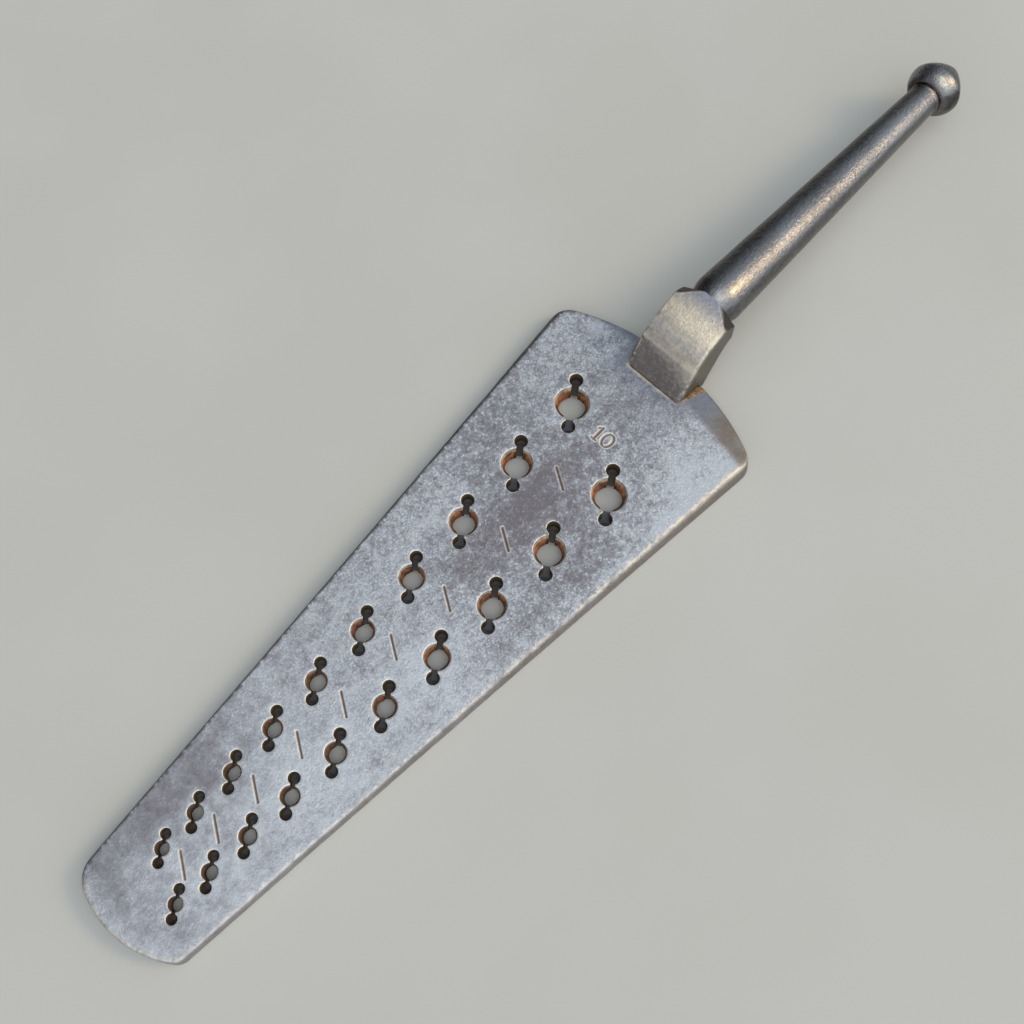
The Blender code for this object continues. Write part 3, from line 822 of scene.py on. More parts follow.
@dataclass
class Markings:
    """Chisel dashes between the rows and the stamped number of hole sizes."""
    dash_angle: float = math.radians(57.5)
    dash_lengths: tuple[float, float] = (5.9, 5.8)
    dash_half_width: float = 0.34
    dash_depth: float = 0.32
    dash_shift: float = -1.2
    dash_offset: float = -0.7
    dash_slips: tuple[Span, ...] = (
        (0.07, 0.08), (-0.22, 0.39), (-0.36, 0.39), (-0.15, 0.32), (-1.46, -0.39), (-0.29, 0.65),
        (-0.85, -0.35), (0.46, -0.34), (0.75, 0.6))
    number_station: float = 152.55
    number_offset: float = -0.7
    number_height: float = 3.75
    stamp_depth: float = 0.26
    stem_half_width: float = 0.42
    serif_half_width: float = 0.26
    flag_half_width: float = 0.28
    nought_half_length: float = 1.22
    nought_half_width: float = 0.38

    def dashes(self, left: list[Figure], right: list[Figure]) -> list[Stroke]:
        """One dash, struck by hand, between each figure of the left row and the next larger right one."""
        found = []
        for index in range(len(left) - 1):
            station = (left[index].station + right[index + 1].station) / 2 + self.dash_shift
            half = blend(self.dash_lengths[0], self.dash_lengths[1], index / (len(left) - 2)) / 2
            way = np.array([math.cos(self.dash_angle), math.sin(self.dash_angle)]) * half
            centre = np.array([station, self.dash_offset]) + self.dash_slips[index]
            ends = tuple(centre - way), tuple(centre + way)
            found.append(Stroke(*ends, self.dash_half_width, self.dash_depth))
        return found

    def number(self) -> list[Stroke | Loop]:
        """The stamped number 10, which reads across the blade from the handle's side."""
        top = self.number_station + self.number_height / 2
        foot = self.number_station - self.number_height / 2
        one = self.number_offset + 1.6
        nought = self.number_offset - 1.25
        shallow = self.stamp_depth * 0.8
        return [
            Stroke((foot, one), (top - 0.15, one), self.stem_half_width, self.stamp_depth),
            Stroke((foot, one + 0.75), (foot, one - 0.75), self.serif_half_width, shallow),
            Stroke((top - 0.1, one + 0.1), (top - 0.75, one + 0.8), self.flag_half_width, shallow),
            Loop((self.number_station, nought), self.number_height / 2 - 0.1, self.nought_half_length,
                 self.nought_half_width, self.stamp_depth),
        ]


@dataclass
class Blade:
    """Flat tapered blade with drafted edges, hammered rims, notches, markings and the figures' openings."""
    layout: Layout
    narrow_width: float = 28.1
    wide_width: float = 60.4
    narrow_thickness: float = 4.2
    wide_thickness: float = 5.0
    narrow_radius: float = 26.0
    narrow_shift: float = 1.5
    wide_radius: float = 60.0
    narrow_corners: dict[Side, float] = field(default_factory=lambda: {Side.LEFT: 4.0, Side.RIGHT: 1.5})
    wide_corner: float = 3.5
    side_draft: tuple[float, float] = (0.4, 1.8)
    rim_slopes: dict[Side, float] = field(
        default_factory=lambda: {Side.LEFT: math.radians(11.0), Side.RIGHT: math.radians(7.5)})
    rim_depths: dict[Side, tuple[float, float]] = field(
        default_factory=lambda: {Side.LEFT: (3.0, -2.3), Side.RIGHT: (7.4, 4.0)})
    rim_softness: float = 1.1
    notch_width: float = 3.6
    notch_depth: float = 2.6
    notch_undercut: float = 0.15
    step_width: float = 0.5
    step_depth: float = 0.5
    wave_depth: float = 0.05
    nick_depth: float = 0.09
    lip_depth: float = 0.11
    lip_width: float = 0.22
    grid_spacing: float = 0.85
    rows: tuple[Row, Row] = (
        Row(Side.LEFT, (18.6, 25.3), 2.07, (5.1, 10.6)),
        Row(Side.RIGHT, (13.0, 36.8), 2.13, (-5.4, -11.3)),
    )
    zones: tuple[ToneZone, ...] = (
        ToneZone(66.0, -6.0, 44.0, 13.0, 0.24),
        ToneZone(94.0, 15.0, 30.0, 7.0, 0.14),
        ToneZone(160.0, -23.0, 13.0, 10.0, 0.38),
        ToneZone(166.0, 22.0, 14.0, 8.0, 0.24),
        ToneZone(120.0, 0.0, 26.0, 9.0, -0.34),
        ToneZone(118.0, -19.0, 13.0, 7.0, -0.18),
        ToneZone(26.0, 11.0, 20.0, 5.0, -0.16),
    )
    markings: Markings = field(default_factory=Markings)

    def __post_init__(self) -> None:
        """Lay out the figures, the strokes and the outline, and the painted highlight and painted shade along
        its edge.
        """
        self.left, self.right = (row.figures(self.layout.blade_length) for row in self.rows)
        self.figures = self.left + self.right
        self.strokes = self.markings.dashes(self.left, self.right) + self.markings.number()
        self.border = self.outline()
        along = np.roll(self.border, -1, axis=0) - np.roll(self.border, 1, axis=0)
        along /= np.linalg.norm(along, axis=1)[:, None]
        self.outwards = np.stack([along[:, 1], -along[:, 0]], axis=1)
        self.widening = np.clip(self.border[:, 0] / self.layout.blade_length, 0.0, 1.0) ** 2
        # Painted highlight along the edges that face the light, and painted shade along those that face away
        to_end, to_left = self.outwards.T
        self.edge_highlight = np.clip(-to_left, 0.0, 1.0) ** 2 * blend(0.3, 1.0, self.widening)
        self.edge_highlight += 0.5 * np.clip(-to_end, 0.0, 1.0) ** 2
        self.edge_gloom = np.clip(to_left, 0.0, 1.0) ** 2 + 0.45 * np.clip(to_end, 0.0, 1.0) ** 2

    def half_width(self, station: float) -> float:
        """Half the width of the top face."""
        return blend(self.narrow_width, self.wide_width, station / self.layout.blade_length) / 2

    def flat_top(self, station: np.ndarray) -> np.ndarray:
        """Height of the top face before anything is hammered or cut."""
        return blend(self.narrow_thickness, self.wide_thickness, station / self.layout.blade_length)

    def end_station(self, offset: float) -> float:
        """Station of the wide end's edge at a distance from the centre line."""
        return self.layout.blade_length - self.wide_radius + math.sqrt(self.wide_radius ** 2 - offset ** 2)

    def rim_fall(self, station: np.ndarray, offset: np.ndarray) -> np.ndarray:
        """How far the hammered-down rim lies below the flat top."""
        foot_half = self.layout.neck_foot_width / 2
        corner_half = self.wide_width / 2
        fall = np.zeros(len(station))
        for side in Side:
            depths = self.rim_depths[side]
            neck_start = self.end_station(foot_half) - depths[0]
            corner_start = self.end_station(corner_half) - depths[1]
            share = (np.abs(offset) - foot_half) / (corner_half - foot_half)
            past = station - (neck_start + (corner_start - neck_start) * share)
            soft = self.rim_softness
            eased = np.where(past > soft, past, np.clip(past + soft, 0.0, None) ** 2 / (4 * soft))
            beside = offset * side.value > foot_half - 1.5
            fall = np.where(beside, eased * math.tan(self.rim_slopes[side]), fall)
        return fall

    def notch_share(self, station: np.ndarray) -> np.ndarray:
        """0 at the front of the notches and 1 at the blade's end."""
        return np.clip((station - self.layout.foot) / (self.layout.foot_setback + 0.6), 0.0, None)

    def top(self, points: np.ndarray) -> np.ndarray:
        """Height of the finished top face, without the rounding of lips and strokes."""
        station, offset = points[:, 0], points[:, 1]
        flat = self.flat_top(station)
        height = flat - self.rim_fall(station, offset)
        share = self.notch_share(station)
        valley = self.layout.neck_foot_width / 2 - self.notch_undercut
        end_top = self.wide_thickness
        slope = self.notch_depth / self.notch_width
        wall = end_top - self.notch_depth * share + slope * (np.abs(offset) - valley)
        in_notch = (share > 0) & (np.abs(offset) > valley - 0.02)
        height = np.where(in_notch, np.minimum(height, wall), height)
        step_start = self.layout.foot - self.step_width
        before_foot = soft_step(station, step_start, self.layout.foot - self.step_width / 3)
        on_step = (np.abs(offset) < self.layout.neck_foot_width / 2 - 0.45)
        return np.where(on_step, height - self.step_depth * before_foot, height)

    def waves(self, points: np.ndarray) -> np.ndarray:
        """Shallow unevenness that the hammer left, never above the flat face."""
        return np.array([self.wave_depth * (noise.noise(Vector((x / 9.0, y / 9.0, 0.4))) - 0.6)
                         for x, y in points])

    def outline(self) -> np.ndarray:
        """Outline of the top face, counter-clockwise, in stations and Y."""
        length = self.layout.blade_length
        centres = {End.NARROW: ((self.narrow_radius, self.narrow_shift), self.narrow_radius),
                   End.WIDE: ((length - self.wide_radius, 0.0), self.wide_radius)}

        def crossing(end: End, side: Side) -> np.ndarray:
            """Point where an end arc meets a side edge."""
            centre, radius = centres[end]
            slope = (self.wide_width - self.narrow_width) / 2 / length * side.value
            start = self.narrow_width / 2 * side.value
            offset = start - centre[1]
            a = 1 + slope ** 2
            b = 2 * (slope * offset - centre[0])
            c = centre[0] ** 2 + offset ** 2 - radius ** 2
            root = math.sqrt(b * b - 4 * a * c)
            station = (-b + root * end.value) / (2 * a)
            return np.array([station, start + slope * station])

        def corner(end: End, side: Side, size: float) -> np.ndarray:
            """Soft corner, from the side edge to the end arc."""
            centre, radius = centres[end]
            point = crossing(end, side)
            along = point[0] - end.value * size
            on_edge = np.array([along, self.half_width(along) * side.value])
            turn = -side.value * end.value
            angle = math.atan2(point[1] - centre[1], point[0] - centre[0]) + turn * size / radius
            on_arc = np.array([centre[0] + radius * math.cos(angle), centre[1] + radius * math.sin(angle)])
            return soft_corner(on_edge, point, on_arc, 10)

        def edge(first: float, last: float, side: Side) -> np.ndarray:
            """Points along a side edge, ends left out."""
            stations = np.linspace(first, last, 130)[1:-1]
            return np.stack([stations, [self.half_width(s) * side.value for s in stations]], axis=1)

        def end_arc(end: End, first: np.ndarray, last: np.ndarray, steps: int) -> np.ndarray:
            """Points along an end arc, ends left out."""
            centre, radius = centres[end]
            start = math.atan2(first[1] - centre[1], first[0] - centre[0])
            stop = math.atan2(last[1] - centre[1], last[0] - centre[0])
            if stop < start:
                stop += 2 * math.pi
            return arc(centre, radius, start, stop, steps)[1:-1]

        narrow = {side: corner(End.NARROW, side, self.narrow_corners[side]) for side in Side}
        wide = {side: corner(End.WIDE, side, self.wide_corner) for side in Side}
        return np.concatenate([
            narrow[Side.RIGHT][::-1],
            edge(narrow[Side.RIGHT][0][0], wide[Side.RIGHT][0][0], Side.RIGHT),
            wide[Side.RIGHT],
            end_arc(End.WIDE, wide[Side.RIGHT][-1], wide[Side.LEFT][-1], 70),
            wide[Side.LEFT][::-1],
            edge(wide[Side.LEFT][0][0], narrow[Side.LEFT][0][0], Side.LEFT),
            narrow[Side.LEFT],
            end_arc(End.NARROW, narrow[Side.LEFT][-1], narrow[Side.RIGHT][-1], 44),
        ])

    @staticmethod
    def spread(share: np.ndarray) -> np.ndarray:
        """Share of the draft that the edge has reached at a share of the depth below the top face."""
        depths = (0.0, 0.03, 0.07, 0.13, 0.2, 0.34, 0.5, 0.72, 0.94, 0.98, 1.0)
        drafts = (0.0, 0.15, 0.28, 0.41, 0.5, 0.65, 0.78, 0.91, 1.0, 0.95, 0.85)
        return np.interp(share, depths, drafts)

    def edge_rings(self) -> tuple[list[np.ndarray], np.ndarray]:
        """Rings of the drafted edge from the top face to the underside.

        Returns:
            The rings in stations, Y and Z, and for each its share of the way down to the underside.
        """
        side_draft = blend(self.side_draft[0], self.side_draft[1], self.widening)
        draft = blend(self.layout.end_draft, side_draft, self.outwards[:, 1] ** 2)
        nicks = np.array([self.nick_depth * abs(noise.noise(Vector((x / 5.0, y / 5.0, 3.0))))
                          for x, y in self.border])
        flat = self.flat_top(self.border[:, 0])
        cut = np.clip((flat - self.top(self.border)) / flat, 0.0, 0.9)
        shares = np.array([0.0, 0.012, 0.03, 0.055, 0.09, 0.14, 0.2, 0.3, 0.42, 0.56, 0.7, 0.83, 0.93,
                           0.97, 1.0])
        rings = []
        for share in shares:
            depth_share = cut + (1 - cut) * share
            round_off = 0.10 * math.exp(-share / 0.015)
            away = draft * self.spread(depth_share) - nicks - round_off - 0.05
            rim_height = flat * (1 - cut) - 0.02
            moved = self.border + self.outwards * away[:, None]
            rings.append(np.column_stack([moved, rim_height * (1 - share)]))
        return rings, shares

    def fill(self, boundary: np.ndarray, openings: list[np.ndarray], extra: np.ndarray,
             spacing: float) -> tuple[np.ndarray, list[tuple[int, ...]]]:
        """Triangles between a boundary and its openings.

        Args:
            boundary: Outline in stations and Y.
            openings: Outlines that stay open.
            extra: Further points, where the surface needs them.
            spacing: Distance between the points of the plain grid.

        Returns:
            Points in stations and Y, and triangles that face up.
        """
        points, edges = [], []
        for loop in [boundary, *openings]:
            start = len(points)
            points += [Vector(point) for point in loop]
            edges += [(start + i, start + (i + 1) % len(loop)) for i in range(len(loop))]
        low, high = boundary.min(0), boundary.max(0)
        rows = np.arange(low[1], high[1], spacing * 0.866)
        grid = np.array([(x + (row % 2) * spacing / 2, y) for row, y in enumerate(rows)
                         for x in np.arange(low[0], high[0], spacing)])
        jitter = np.random.default_rng(7).uniform(-0.12, 0.12, grid.shape) * spacing
        fixed = np.array([tuple(point) for point in points])
        kept_extra = extra[inside(extra, boundary)]
        kept_extra = kept_extra[distances(kept_extra, fixed) > 0.05]
        grid = grid + jitter
        grid = grid[inside(grid, boundary)]
        grid = grid[distances(grid, np.concatenate([fixed, kept_extra])) > 0.42 * spacing]
        points += [Vector(point) for point in np.concatenate([kept_extra, grid])]
        coords, _, faces, _, _, _ = geometry.delaunay_2d_cdt(points, edges, [], 0, 1e-6)
        flat = np.array([tuple(point) for point in coords])
        triangles = np.array([face for face in faces if len(face) == 3])
        middle = flat[triangles].mean(1)
        kept = inside(middle, boundary)
        for opening in openings:
            kept &= ~inside(middle, opening)
        triangles = triangles[kept]
        a, b, c = (flat[triangles[:, i]] for i in range(3))
        facing = (b[:, 0] - a[:, 0]) * (c[:, 1] - a[:, 1]) - (b[:, 1] - a[:, 1]) * (c[:, 0] - a[:, 0])
        triangles[facing < 0] = triangles[facing < 0][:, ::-1]
        return flat, [tuple(int(i) for i in face) for face in triangles]

    def detail_points(self) -> np.ndarray:
        """Points that draw the foot step, the notches, the strokes and the wear round the figures."""
        foot, end = self.layout.foot, self.layout.blade_length + 0.4
        valley = self.layout.neck_foot_width / 2 - self.notch_undercut
        parts = [stroke.grid() for stroke in self.strokes]
        across = np.arange(-8.3, 8.31, 0.35)
        for station in (foot - 0.62, foot - 0.5, foot - 0.4, foot - 0.3, foot - 0.17, foot + 0.2):
            parts.append(np.stack([np.full(len(across), station), across], axis=1))
        for side in Side:
            for station in np.arange(foot, end, 0.45):
                width = self.notch_width * (station - foot) / (end - foot)
                for share in (-0.05, 0.0, 0.33, 0.66, 1.0, 1.12):
                    parts.append(np.array([[station, (valley + 0.02 + width * share) * side.value]]))
        for figure in self.figures:
            parts += [figure.rim_outline(outwards)[::2] for outwards in (0.55, 0.95, 1.5)]
        return np.concatenate(parts)

    def top_skin(self, skin: Skin, boundary: np.ndarray) -> None:
        """Add the top face with its lips, strokes and worn rims, its broad tone areas, and its painted
        highlight and painted shade.
        """
        openings = [figure.rim_outline() for figure in self.figures]
        lips = [figure.rim_outline(outwards) for figure in self.figures for outwards in (0.08, 0.2)]
        extra = np.concatenate([self.detail_points(), *lips])
        flat, faces = self.fill(boundary, openings, extra, self.grid_spacing)
        near = distances(flat, np.concatenate(openings))
        before = self.layout.foot - flat[:, 0]
        foot_haze = 0.75 * np.exp(-np.clip(before, 0.0, None) / 5.5) * (before > -9) * soft_step(
            14.0 - np.abs(flat[:, 1]), 0.0, 5.0)
        beside, from_edge = nearest(flat, boundary)
        height = self.top(flat) + self.waves(flat) * soft_step(from_edge, 0.0, 3.0) - 0.02
        height -= self.lip_depth * np.clip(1 - near / self.lip_width, 0.0, 1.0) ** 2
        covers = np.array([stroke.cover(flat) for stroke in self.strokes])
        strokes = list(zip(covers, self.strokes))
        outside = np.min([-cover * stroke.half_width for cover, stroke in strokes], axis=0)
        height -= np.max([stroke.depth * np.clip(cover, 0.0, 1.0) ** 0.7 for cover, stroke in strokes],
                         axis=0)
        in_number = np.abs(flat[:, 0] - self.markings.number_station) < self.markings.number_height
        stamp_lip = np.exp(-((outside - 0.10) / 0.14) ** 2)
        rim_wear = np.maximum(np.exp(-near / 0.75), 0.7 * stamp_lip)
        edge_near = np.exp(-from_edge / 0.3)
        share = self.notch_share(flat[:, 0])
        valley = self.layout.neck_foot_width / 2 - self.notch_undercut
        up_wall = np.abs(flat[:, 1]) - valley
        in_notch = (share > 0) & (up_wall > -0.1) & (up_wall < self.notch_width * share + 0.05)
        # The right notch, which faces the light, takes the pale rust fully: real rust with painted light
        on_right = np.where(flat[:, 1] < 0, 1.0, 0.35)
        # Painted highlight along the step just in front of the foot
        on_line = (before < self.step_width + 0.15) & (before > 0.16) & (np.abs(flat[:, 1]) < 8.0)
        lit_edge = self.edge_highlight[beside]
        zones = np.sum([zone.tone(flat) for zone in self.zones], axis=0)
        skin.add(np.column_stack([self.layout.world(flat), height]), faces,
                 rim_wear=rim_wear,
                 # Painted highlight along the edges that face the light and along the foot step; painted
                 # shade along the edges away from it
                 edge_wear=np.maximum(edge_near * lit_edge, 0.9 * on_line.astype(float)),
                 edge_shade=0.8 * edge_near ** 2 * self.edge_gloom[beside],
                 # Painted shade on the hammered slopes, and a smooth blue-grey band in front of the foot
                 rim_slope=np.maximum(soft_step(self.rim_fall(flat[:, 0], flat[:, 1]), 0.03, 0.3), foot_haze),
                 slope_brown=soft_step(-flat[:, 1], 11.0, 22.0),
                 stamp=soft_step(covers.max(0), 0.15, 0.6) * np.where(in_number, 0.85, 1.0),
                 stamp_lip=stamp_lip * np.where(in_number, 0.85, 0.45),
                 # Broad tone areas, and a painted highlight on the face near the edges that face the light
                 tone=zones + 0.44 * np.exp(-(from_edge / 3.0) ** 2) * lit_edge,
                 rust=in_notch.astype(float) * on_right)

    def edge_skin(self, skin: Skin, rings: list[np.ndarray], shares: np.ndarray) -> None:
        """Add the drafted edge all round."""
        columns = len(rings[0])
        points = np.concatenate([self.layout.world(ring) for ring in reversed(rings)])
        depth = np.repeat(shares[::-1], columns)
        # The side faces take painted shade, more of it towards the wide end
        side_shade = blend(0.45, 1.0, np.clip(rings[0][:, 0] / self.layout.blade_length, 0.0, 1.0))
        # Painted highlight on the rounded edge where it faces the light, painted shade where it faces away
        skin.add(points, ring_faces(len(rings), columns),
                 edge_wear=np.exp(-depth / 0.13) * np.tile(self.edge_highlight, len(rings)),
                 edge_shade=0.8 * np.tile(self.edge_gloom, len(rings)),
                 edge_side=soft_step(depth, 0.06, 0.22) * np.tile(side_shade, len(rings)))

    def underside(self, skin: Skin, boundary: np.ndarray) -> None:
        """Add the flat underside."""
        openings = [figure.foot_outline() for figure in self.figures]
        flat, faces = self.fill(boundary, openings, boundary.mean(0)[None, :], 2.2)
        faces = [face[::-1] for face in faces]
        near = distances(flat, np.concatenate(openings))
        skin.add(np.column_stack([self.layout.world(flat), np.zeros(len(flat))]), faces,
                 rim_wear=np.exp(-near / 0.6))

    def build(self, material: bpy.types.Material) -> bpy.types.Object:
        """The blade's skin, open where the figures go through."""
        skin = Skin("blade")
        rings, shares = self.edge_rings()
        self.edge_skin(skin, rings, shares)
        self.top_skin(skin, rings[0][:, :2])
        self.underside(skin, rings[-1][:, :2])
        return skin.build(material)


@dataclass
class Bores:
    """Walls of the figures, from the lips at the top face to the chamfers at the underside."""
    blade: Blade
    levels: int = 26
    thread_depth: float = 0.56
    plug_heights: tuple[float, float] = (0.42, 0.58)
    plug_sides: int = 20
    plug_hollow: float = 0.6
    lip_drop: float = 0.13
    ripple_depth: float = 0.07
    ripple_pitch: float = 0.42
    lit_side: tuple[float, float] = (0.73, 0.68)

    def wall(self, figure: Figure, skin: Skin) -> None:
        """Add the wall of one figure."""
        top_edge = figure.rim_outline()
        surface = self.blade.top(top_edge) - self.lip_drop + self.blade.waves(top_edge)
        mean_top = float(surface.mean())
        bell_end = mean_top - figure.bell_depth
        root = figure.throat + self.thread_depth * figure.lead
        rings, lip, thread, sunk, old = [], [], [], [], []
        heights = np.unique(np.concatenate([
            np.linspace(0.0, figure.chamfer, 3), np.linspace(figure.chamfer, bell_end, 5),
            np.linspace(bell_end, mean_top, self.levels - 7)]))
        for height in heights:
            if height <= figure.chamfer:
                hole = blend(figure.throat + figure.chamfer, min(root, figure.rim), height / figure.chamfer)
            elif height <= bell_end:
                hole = min(root, figure.rim)
            else:
                share = (height - bell_end) / (mean_top - bell_end)
                turns = 2 * math.pi * (mean_top - height) / self.ripple_pitch
                ripple = self.ripple_depth * math.sin(turns) * min(1.0, 4 * (1 - share))
                hole = blend(min(root, figure.rim) - 0.02, figure.rim, share ** 1.4) - abs(ripple)
            relief = figure.relief * blend(figure.foot_taper, 1.0, height / mean_top)
            slot_half = figure.slot_half * blend(figure.slot_taper, 1.0, height / mean_top)
            outline = figure.outline(hole, relief, slot_half)
            z = np.full(len(outline), height) if height < mean_top - 1e-6 else surface
            rings.append(np.column_stack([self.blade.layout.world(outline), z]))
            below = mean_top - height
            pale_share = float(soft_step(below, 1.25 * figure.bell_depth, 0.45 * figure.bell_depth))
            lip.append(np.full(len(outline), pale_share * blend(1.0, 0.3, figure.share)))
            # Depth and side of the wall, for the painted shade
            sunk.append(np.full(len(outline), below / mean_top))
            thread.append(figure.hole_columns())
            old.append(self.shade_share(figure, outline))
        skin.add(np.concatenate(rings), [face[::-1] for face in ring_faces(len(rings), len(rings[0]))],
                 lip=np.concatenate(lip), thread_wall=np.concatenate(thread), sunk=np.concatenate(sunk),
                 old_rust=np.concatenate(old))

    def shade_share(self, figure: Figure, points: np.ndarray) -> np.ndarray:
        """How much painted shade browns a wall at its points: most in small holes and on the lower right,
        away from the light.
        """
        away = points - np.array([figure.station, figure.offset])
        upwards = (away @ np.array(self.lit_side)) / np.linalg.norm(away, axis=1)
        return np.maximum(0.95 * figure.share ** 0.5, 0.9 * soft_step(-upwards, -0.35, 0.35))

    def shadow_plug(self, figure: Figure, direction: int, skin: Skin) -> None:
        """Add a dark sheet, a painted shadow, that closes a relief hole and its slot half way down.

        Args:
            figure: The figure.
            direction: 1 for the relief hole towards the handle, -1 for the other one.
            skin: Mesh that takes it.
        """
        depth_share = blend(self.plug_heights[0], self.plug_heights[1], figure.share)
        radius = figure.relief * blend(figure.foot_taper, 1.0, depth_share) + 0.04
        angles = np.linspace(0.0, 2 * math.pi, self.plug_sides, endpoint=False)
        middle = figure.pitch * direction
        local = [(middle, 0.0)]
        local += [(middle + radius * math.cos(a), radius * math.sin(a)) for a in angles]
        faces = [(0, 1 + i, 1 + (i + 1) % self.plug_sides) for i in range(self.plug_sides)]
        start, half = len(local), figure.slot_half + 0.02
        inner = figure.throat * 0.98 * direction
        local += [(inner, -half * direction), (figure.pitch * direction, -half * direction),
                  (figure.pitch * direction, half * direction), (inner, half * direction)]
        faces.append((start, start + 1, start + 2, start + 3))
        turned = figure.placed(np.array(local))
        height = float(self.blade.flat_top(figure.station)) * depth_share
        z = np.full(len(turned), height)
        z[0] -= self.plug_hollow
        # Painted shade, darkest in the sheet's hollow middle
        sunk = np.full(len(turned), 0.55)
        sunk[0] = 1.0
        # Painted shadow of the floor, strongest under the lower reliefs of the large figures
        slate = np.full(len(turned), 0.9 * (1 - figure.share) if direction < 0 else 0.25)
        skin.add(np.column_stack([self.blade.layout.world(turned), z]), faces, sunk=sunk, slate=slate)

    def build(self, material: bpy.types.Material) -> bpy.types.Object:
        """The walls of all the figures."""
        skin = Skin("bore_walls")
        for figure in self.blade.figures:
            self.wall(figure, skin)
            self.shadow_plug(figure, 1, skin)
            self.shadow_plug(figure, -1, skin)
        return skin.build(material, 50.0)


@dataclass
class Threads:
    """Thread crests in the holes. Geometry Nodes lay one half turn on each point, between the slots."""
    blade: Blade
    bores: Bores
    segments: int = 26
    slot_angle: float = math.radians(17.0)
    crest_depth: float = 0.62
    flank_share: float = 0.3
    half_pitch: float = 0.42
    crest_lip: float = 0.06
    crest_sunk: float = 0.4

    def tree(self, material: bpy.types.Material) -> bpy.types.NodeTree:
        """Node tree that turns points with a size and a turn into thread ridges.

        Args:
            material: Material of the ridges.

        Returns:
            The tree, with named inputs for the ridge's sizes.
        """
        tree = bpy.data.node_groups.new("thread_turns", "GeometryNodeTree")
        for name, kind in (("Geometry", "Geometry"), ("Segments", "Int"), ("Slot Angle", "Float"),
                           ("Flank", "Float"), ("Half Pitch", "Float")):
            tree.interface.new_socket(name, in_out="INPUT", socket_type="NodeSocket" + kind)
        tree.interface.new_socket("Geometry", in_out="OUTPUT", socket_type="NodeSocketGeometry")
        graph = Graph(tree)
        given = graph.node("NodeGroupInput").outputs
        strip = graph.value("GeometryNodeMeshGrid", {
            "Size X": 1.0, "Size Y": 2.0, "Vertices X": given["Segments"], "Vertices Y": 3})
        place = graph.node("ShaderNodeSeparateXYZ", {0: graph.value("GeometryNodeInputPosition")}).outputs
        along, across = Value(graph, place[0]), Value(graph, place[1])
        slot_angle = Value(graph, given["Slot Angle"])
        angle = slot_angle + (along + 0.5) * (math.pi - slot_angle * 2.0)
        # The crest sinks into the wall at both ends of the half turn
        from_end = 0.5 - graph.math("ABSOLUTE", along)
        sunk = graph.math("SUBTRACT", 1.0, from_end * 12.0, clamp=True)
        flank = graph.math("MAXIMUM", graph.math("ABSOLUTE", across), sunk)
        radius = flank * Value(graph, given["Flank"]) + 1.0
        height = graph.math("DIVIDE", angle, 2 * math.pi) + across * Value(graph, given["Half Pitch"])
        bent = graph.value("ShaderNodeCombineXYZ", {
            0: graph.math("COSINE", angle) * radius, 1: graph.math("SINE", angle) * radius, 2: height})
        ridge = graph.value("GeometryNodeSetPosition", {"Geometry": strip, "Position": bent})
        size, turn = (graph.value("GeometryNodeInputNamedAttribute", {"Name": name}, data_type="FLOAT_VECTOR")
                      for name in ("turn_size", "turn_euler"))
        laid = graph.value("GeometryNodeInstanceOnPoints", {
            "Points": given["Geometry"], "Instance": ridge, "Rotation": turn, "Scale": size})
        real = graph.value("GeometryNodeRealizeInstances", {"Geometry": laid})
        dressed = graph.value("GeometryNodeSetMaterial", {"Geometry": real, "Material": material})
        graph.node("NodeGroupOutput", {0: dressed})
        return tree

    def seeds(self) -> bpy.types.Object:
        """One point for each half turn, with its size and its turn."""
        points, sizes, turns = [], [], []
        for figure in self.blade.figures:
            centre = self.blade.layout.world(np.array([[figure.station, figure.offset]]))[0]
            top = float(self.blade.flat_top(figure.station))
            upper = top - figure.bell_depth * 0.62
            lower = figure.lead * 0.45
            count = int((upper - lower) / figure.lead * 2)
            for half in range(count):
                points.append(Vector((centre[0], centre[1], lower + half * figure.lead / 2)) * MM)
                widen = max(0.0, (lower + (half + 1) * figure.lead / 2) - (top - figure.bell_depth))
                radius = (figure.throat + widen * 0.55) * MM
                sizes.append((radius, radius, figure.lead * MM))
                turns.append((0.0, 0.0, figure.angle + (half % 2) * math.pi))
        mesh = bpy.data.meshes.new("thread_seeds")
        mesh.from_pydata(points, [], [])
        for name, values in (("turn_size", sizes), ("turn_euler", turns)):
            layer = mesh.attributes.new(name, "FLOAT_VECTOR", "POINT")
            layer.data.foreach_set("vector", np.array(values, np.float32).ravel())
        seeds = bpy.data.objects.new("thread_seeds", mesh)
        bpy.context.scene.collection.objects.link(seeds)
        return seeds

    def shade_share(self, mesh: bpy.types.Mesh) -> np.ndarray:
        """How much painted shade browns each point of the crests, as on the walls round them."""
        flat = np.array([(v.co.x / MM + self.blade.layout.centre, v.co.y / MM) for v in mesh.vertices])
        figures = self.blade.figures
        centres = np.array([(figure.station, figure.offset) for figure in figures])
        nearest = np.linalg.norm(flat[:, None] - centres[None], axis=2).argmin(1)
        result = np.zeros(len(flat))
        for index, figure in enumerate(figures):
            own = nearest == index
            result[own] = np.maximum(0.3, self.bores.shade_share(figure, flat[own]))
        return result

    def build(self, material: bpy.types.Material) -> bpy.types.Object:
        """Plain mesh of all the thread crests."""
        seeds = self.seeds()
        tree = self.tree(material)
        modifier = seeds.modifiers.new("thread_turns", "NODES")
        modifier.node_group = tree
        wanted = {"Segments": self.segments, "Slot Angle": self.slot_angle,
                  "Flank": self.crest_depth * self.flank_share, "Half Pitch": self.half_pitch}
        for item in tree.interface.items_tree:
            if item.in_out == "INPUT" and item.name in wanted:
                modifier[item.identifier] = wanted[item.name]
        bpy.context.view_layer.update()
        evaluated = seeds.evaluated_get(bpy.context.evaluated_depsgraph_get())
        mesh = bpy.data.meshes.new_from_object(evaluated)
        mesh.name = "thread_crests"
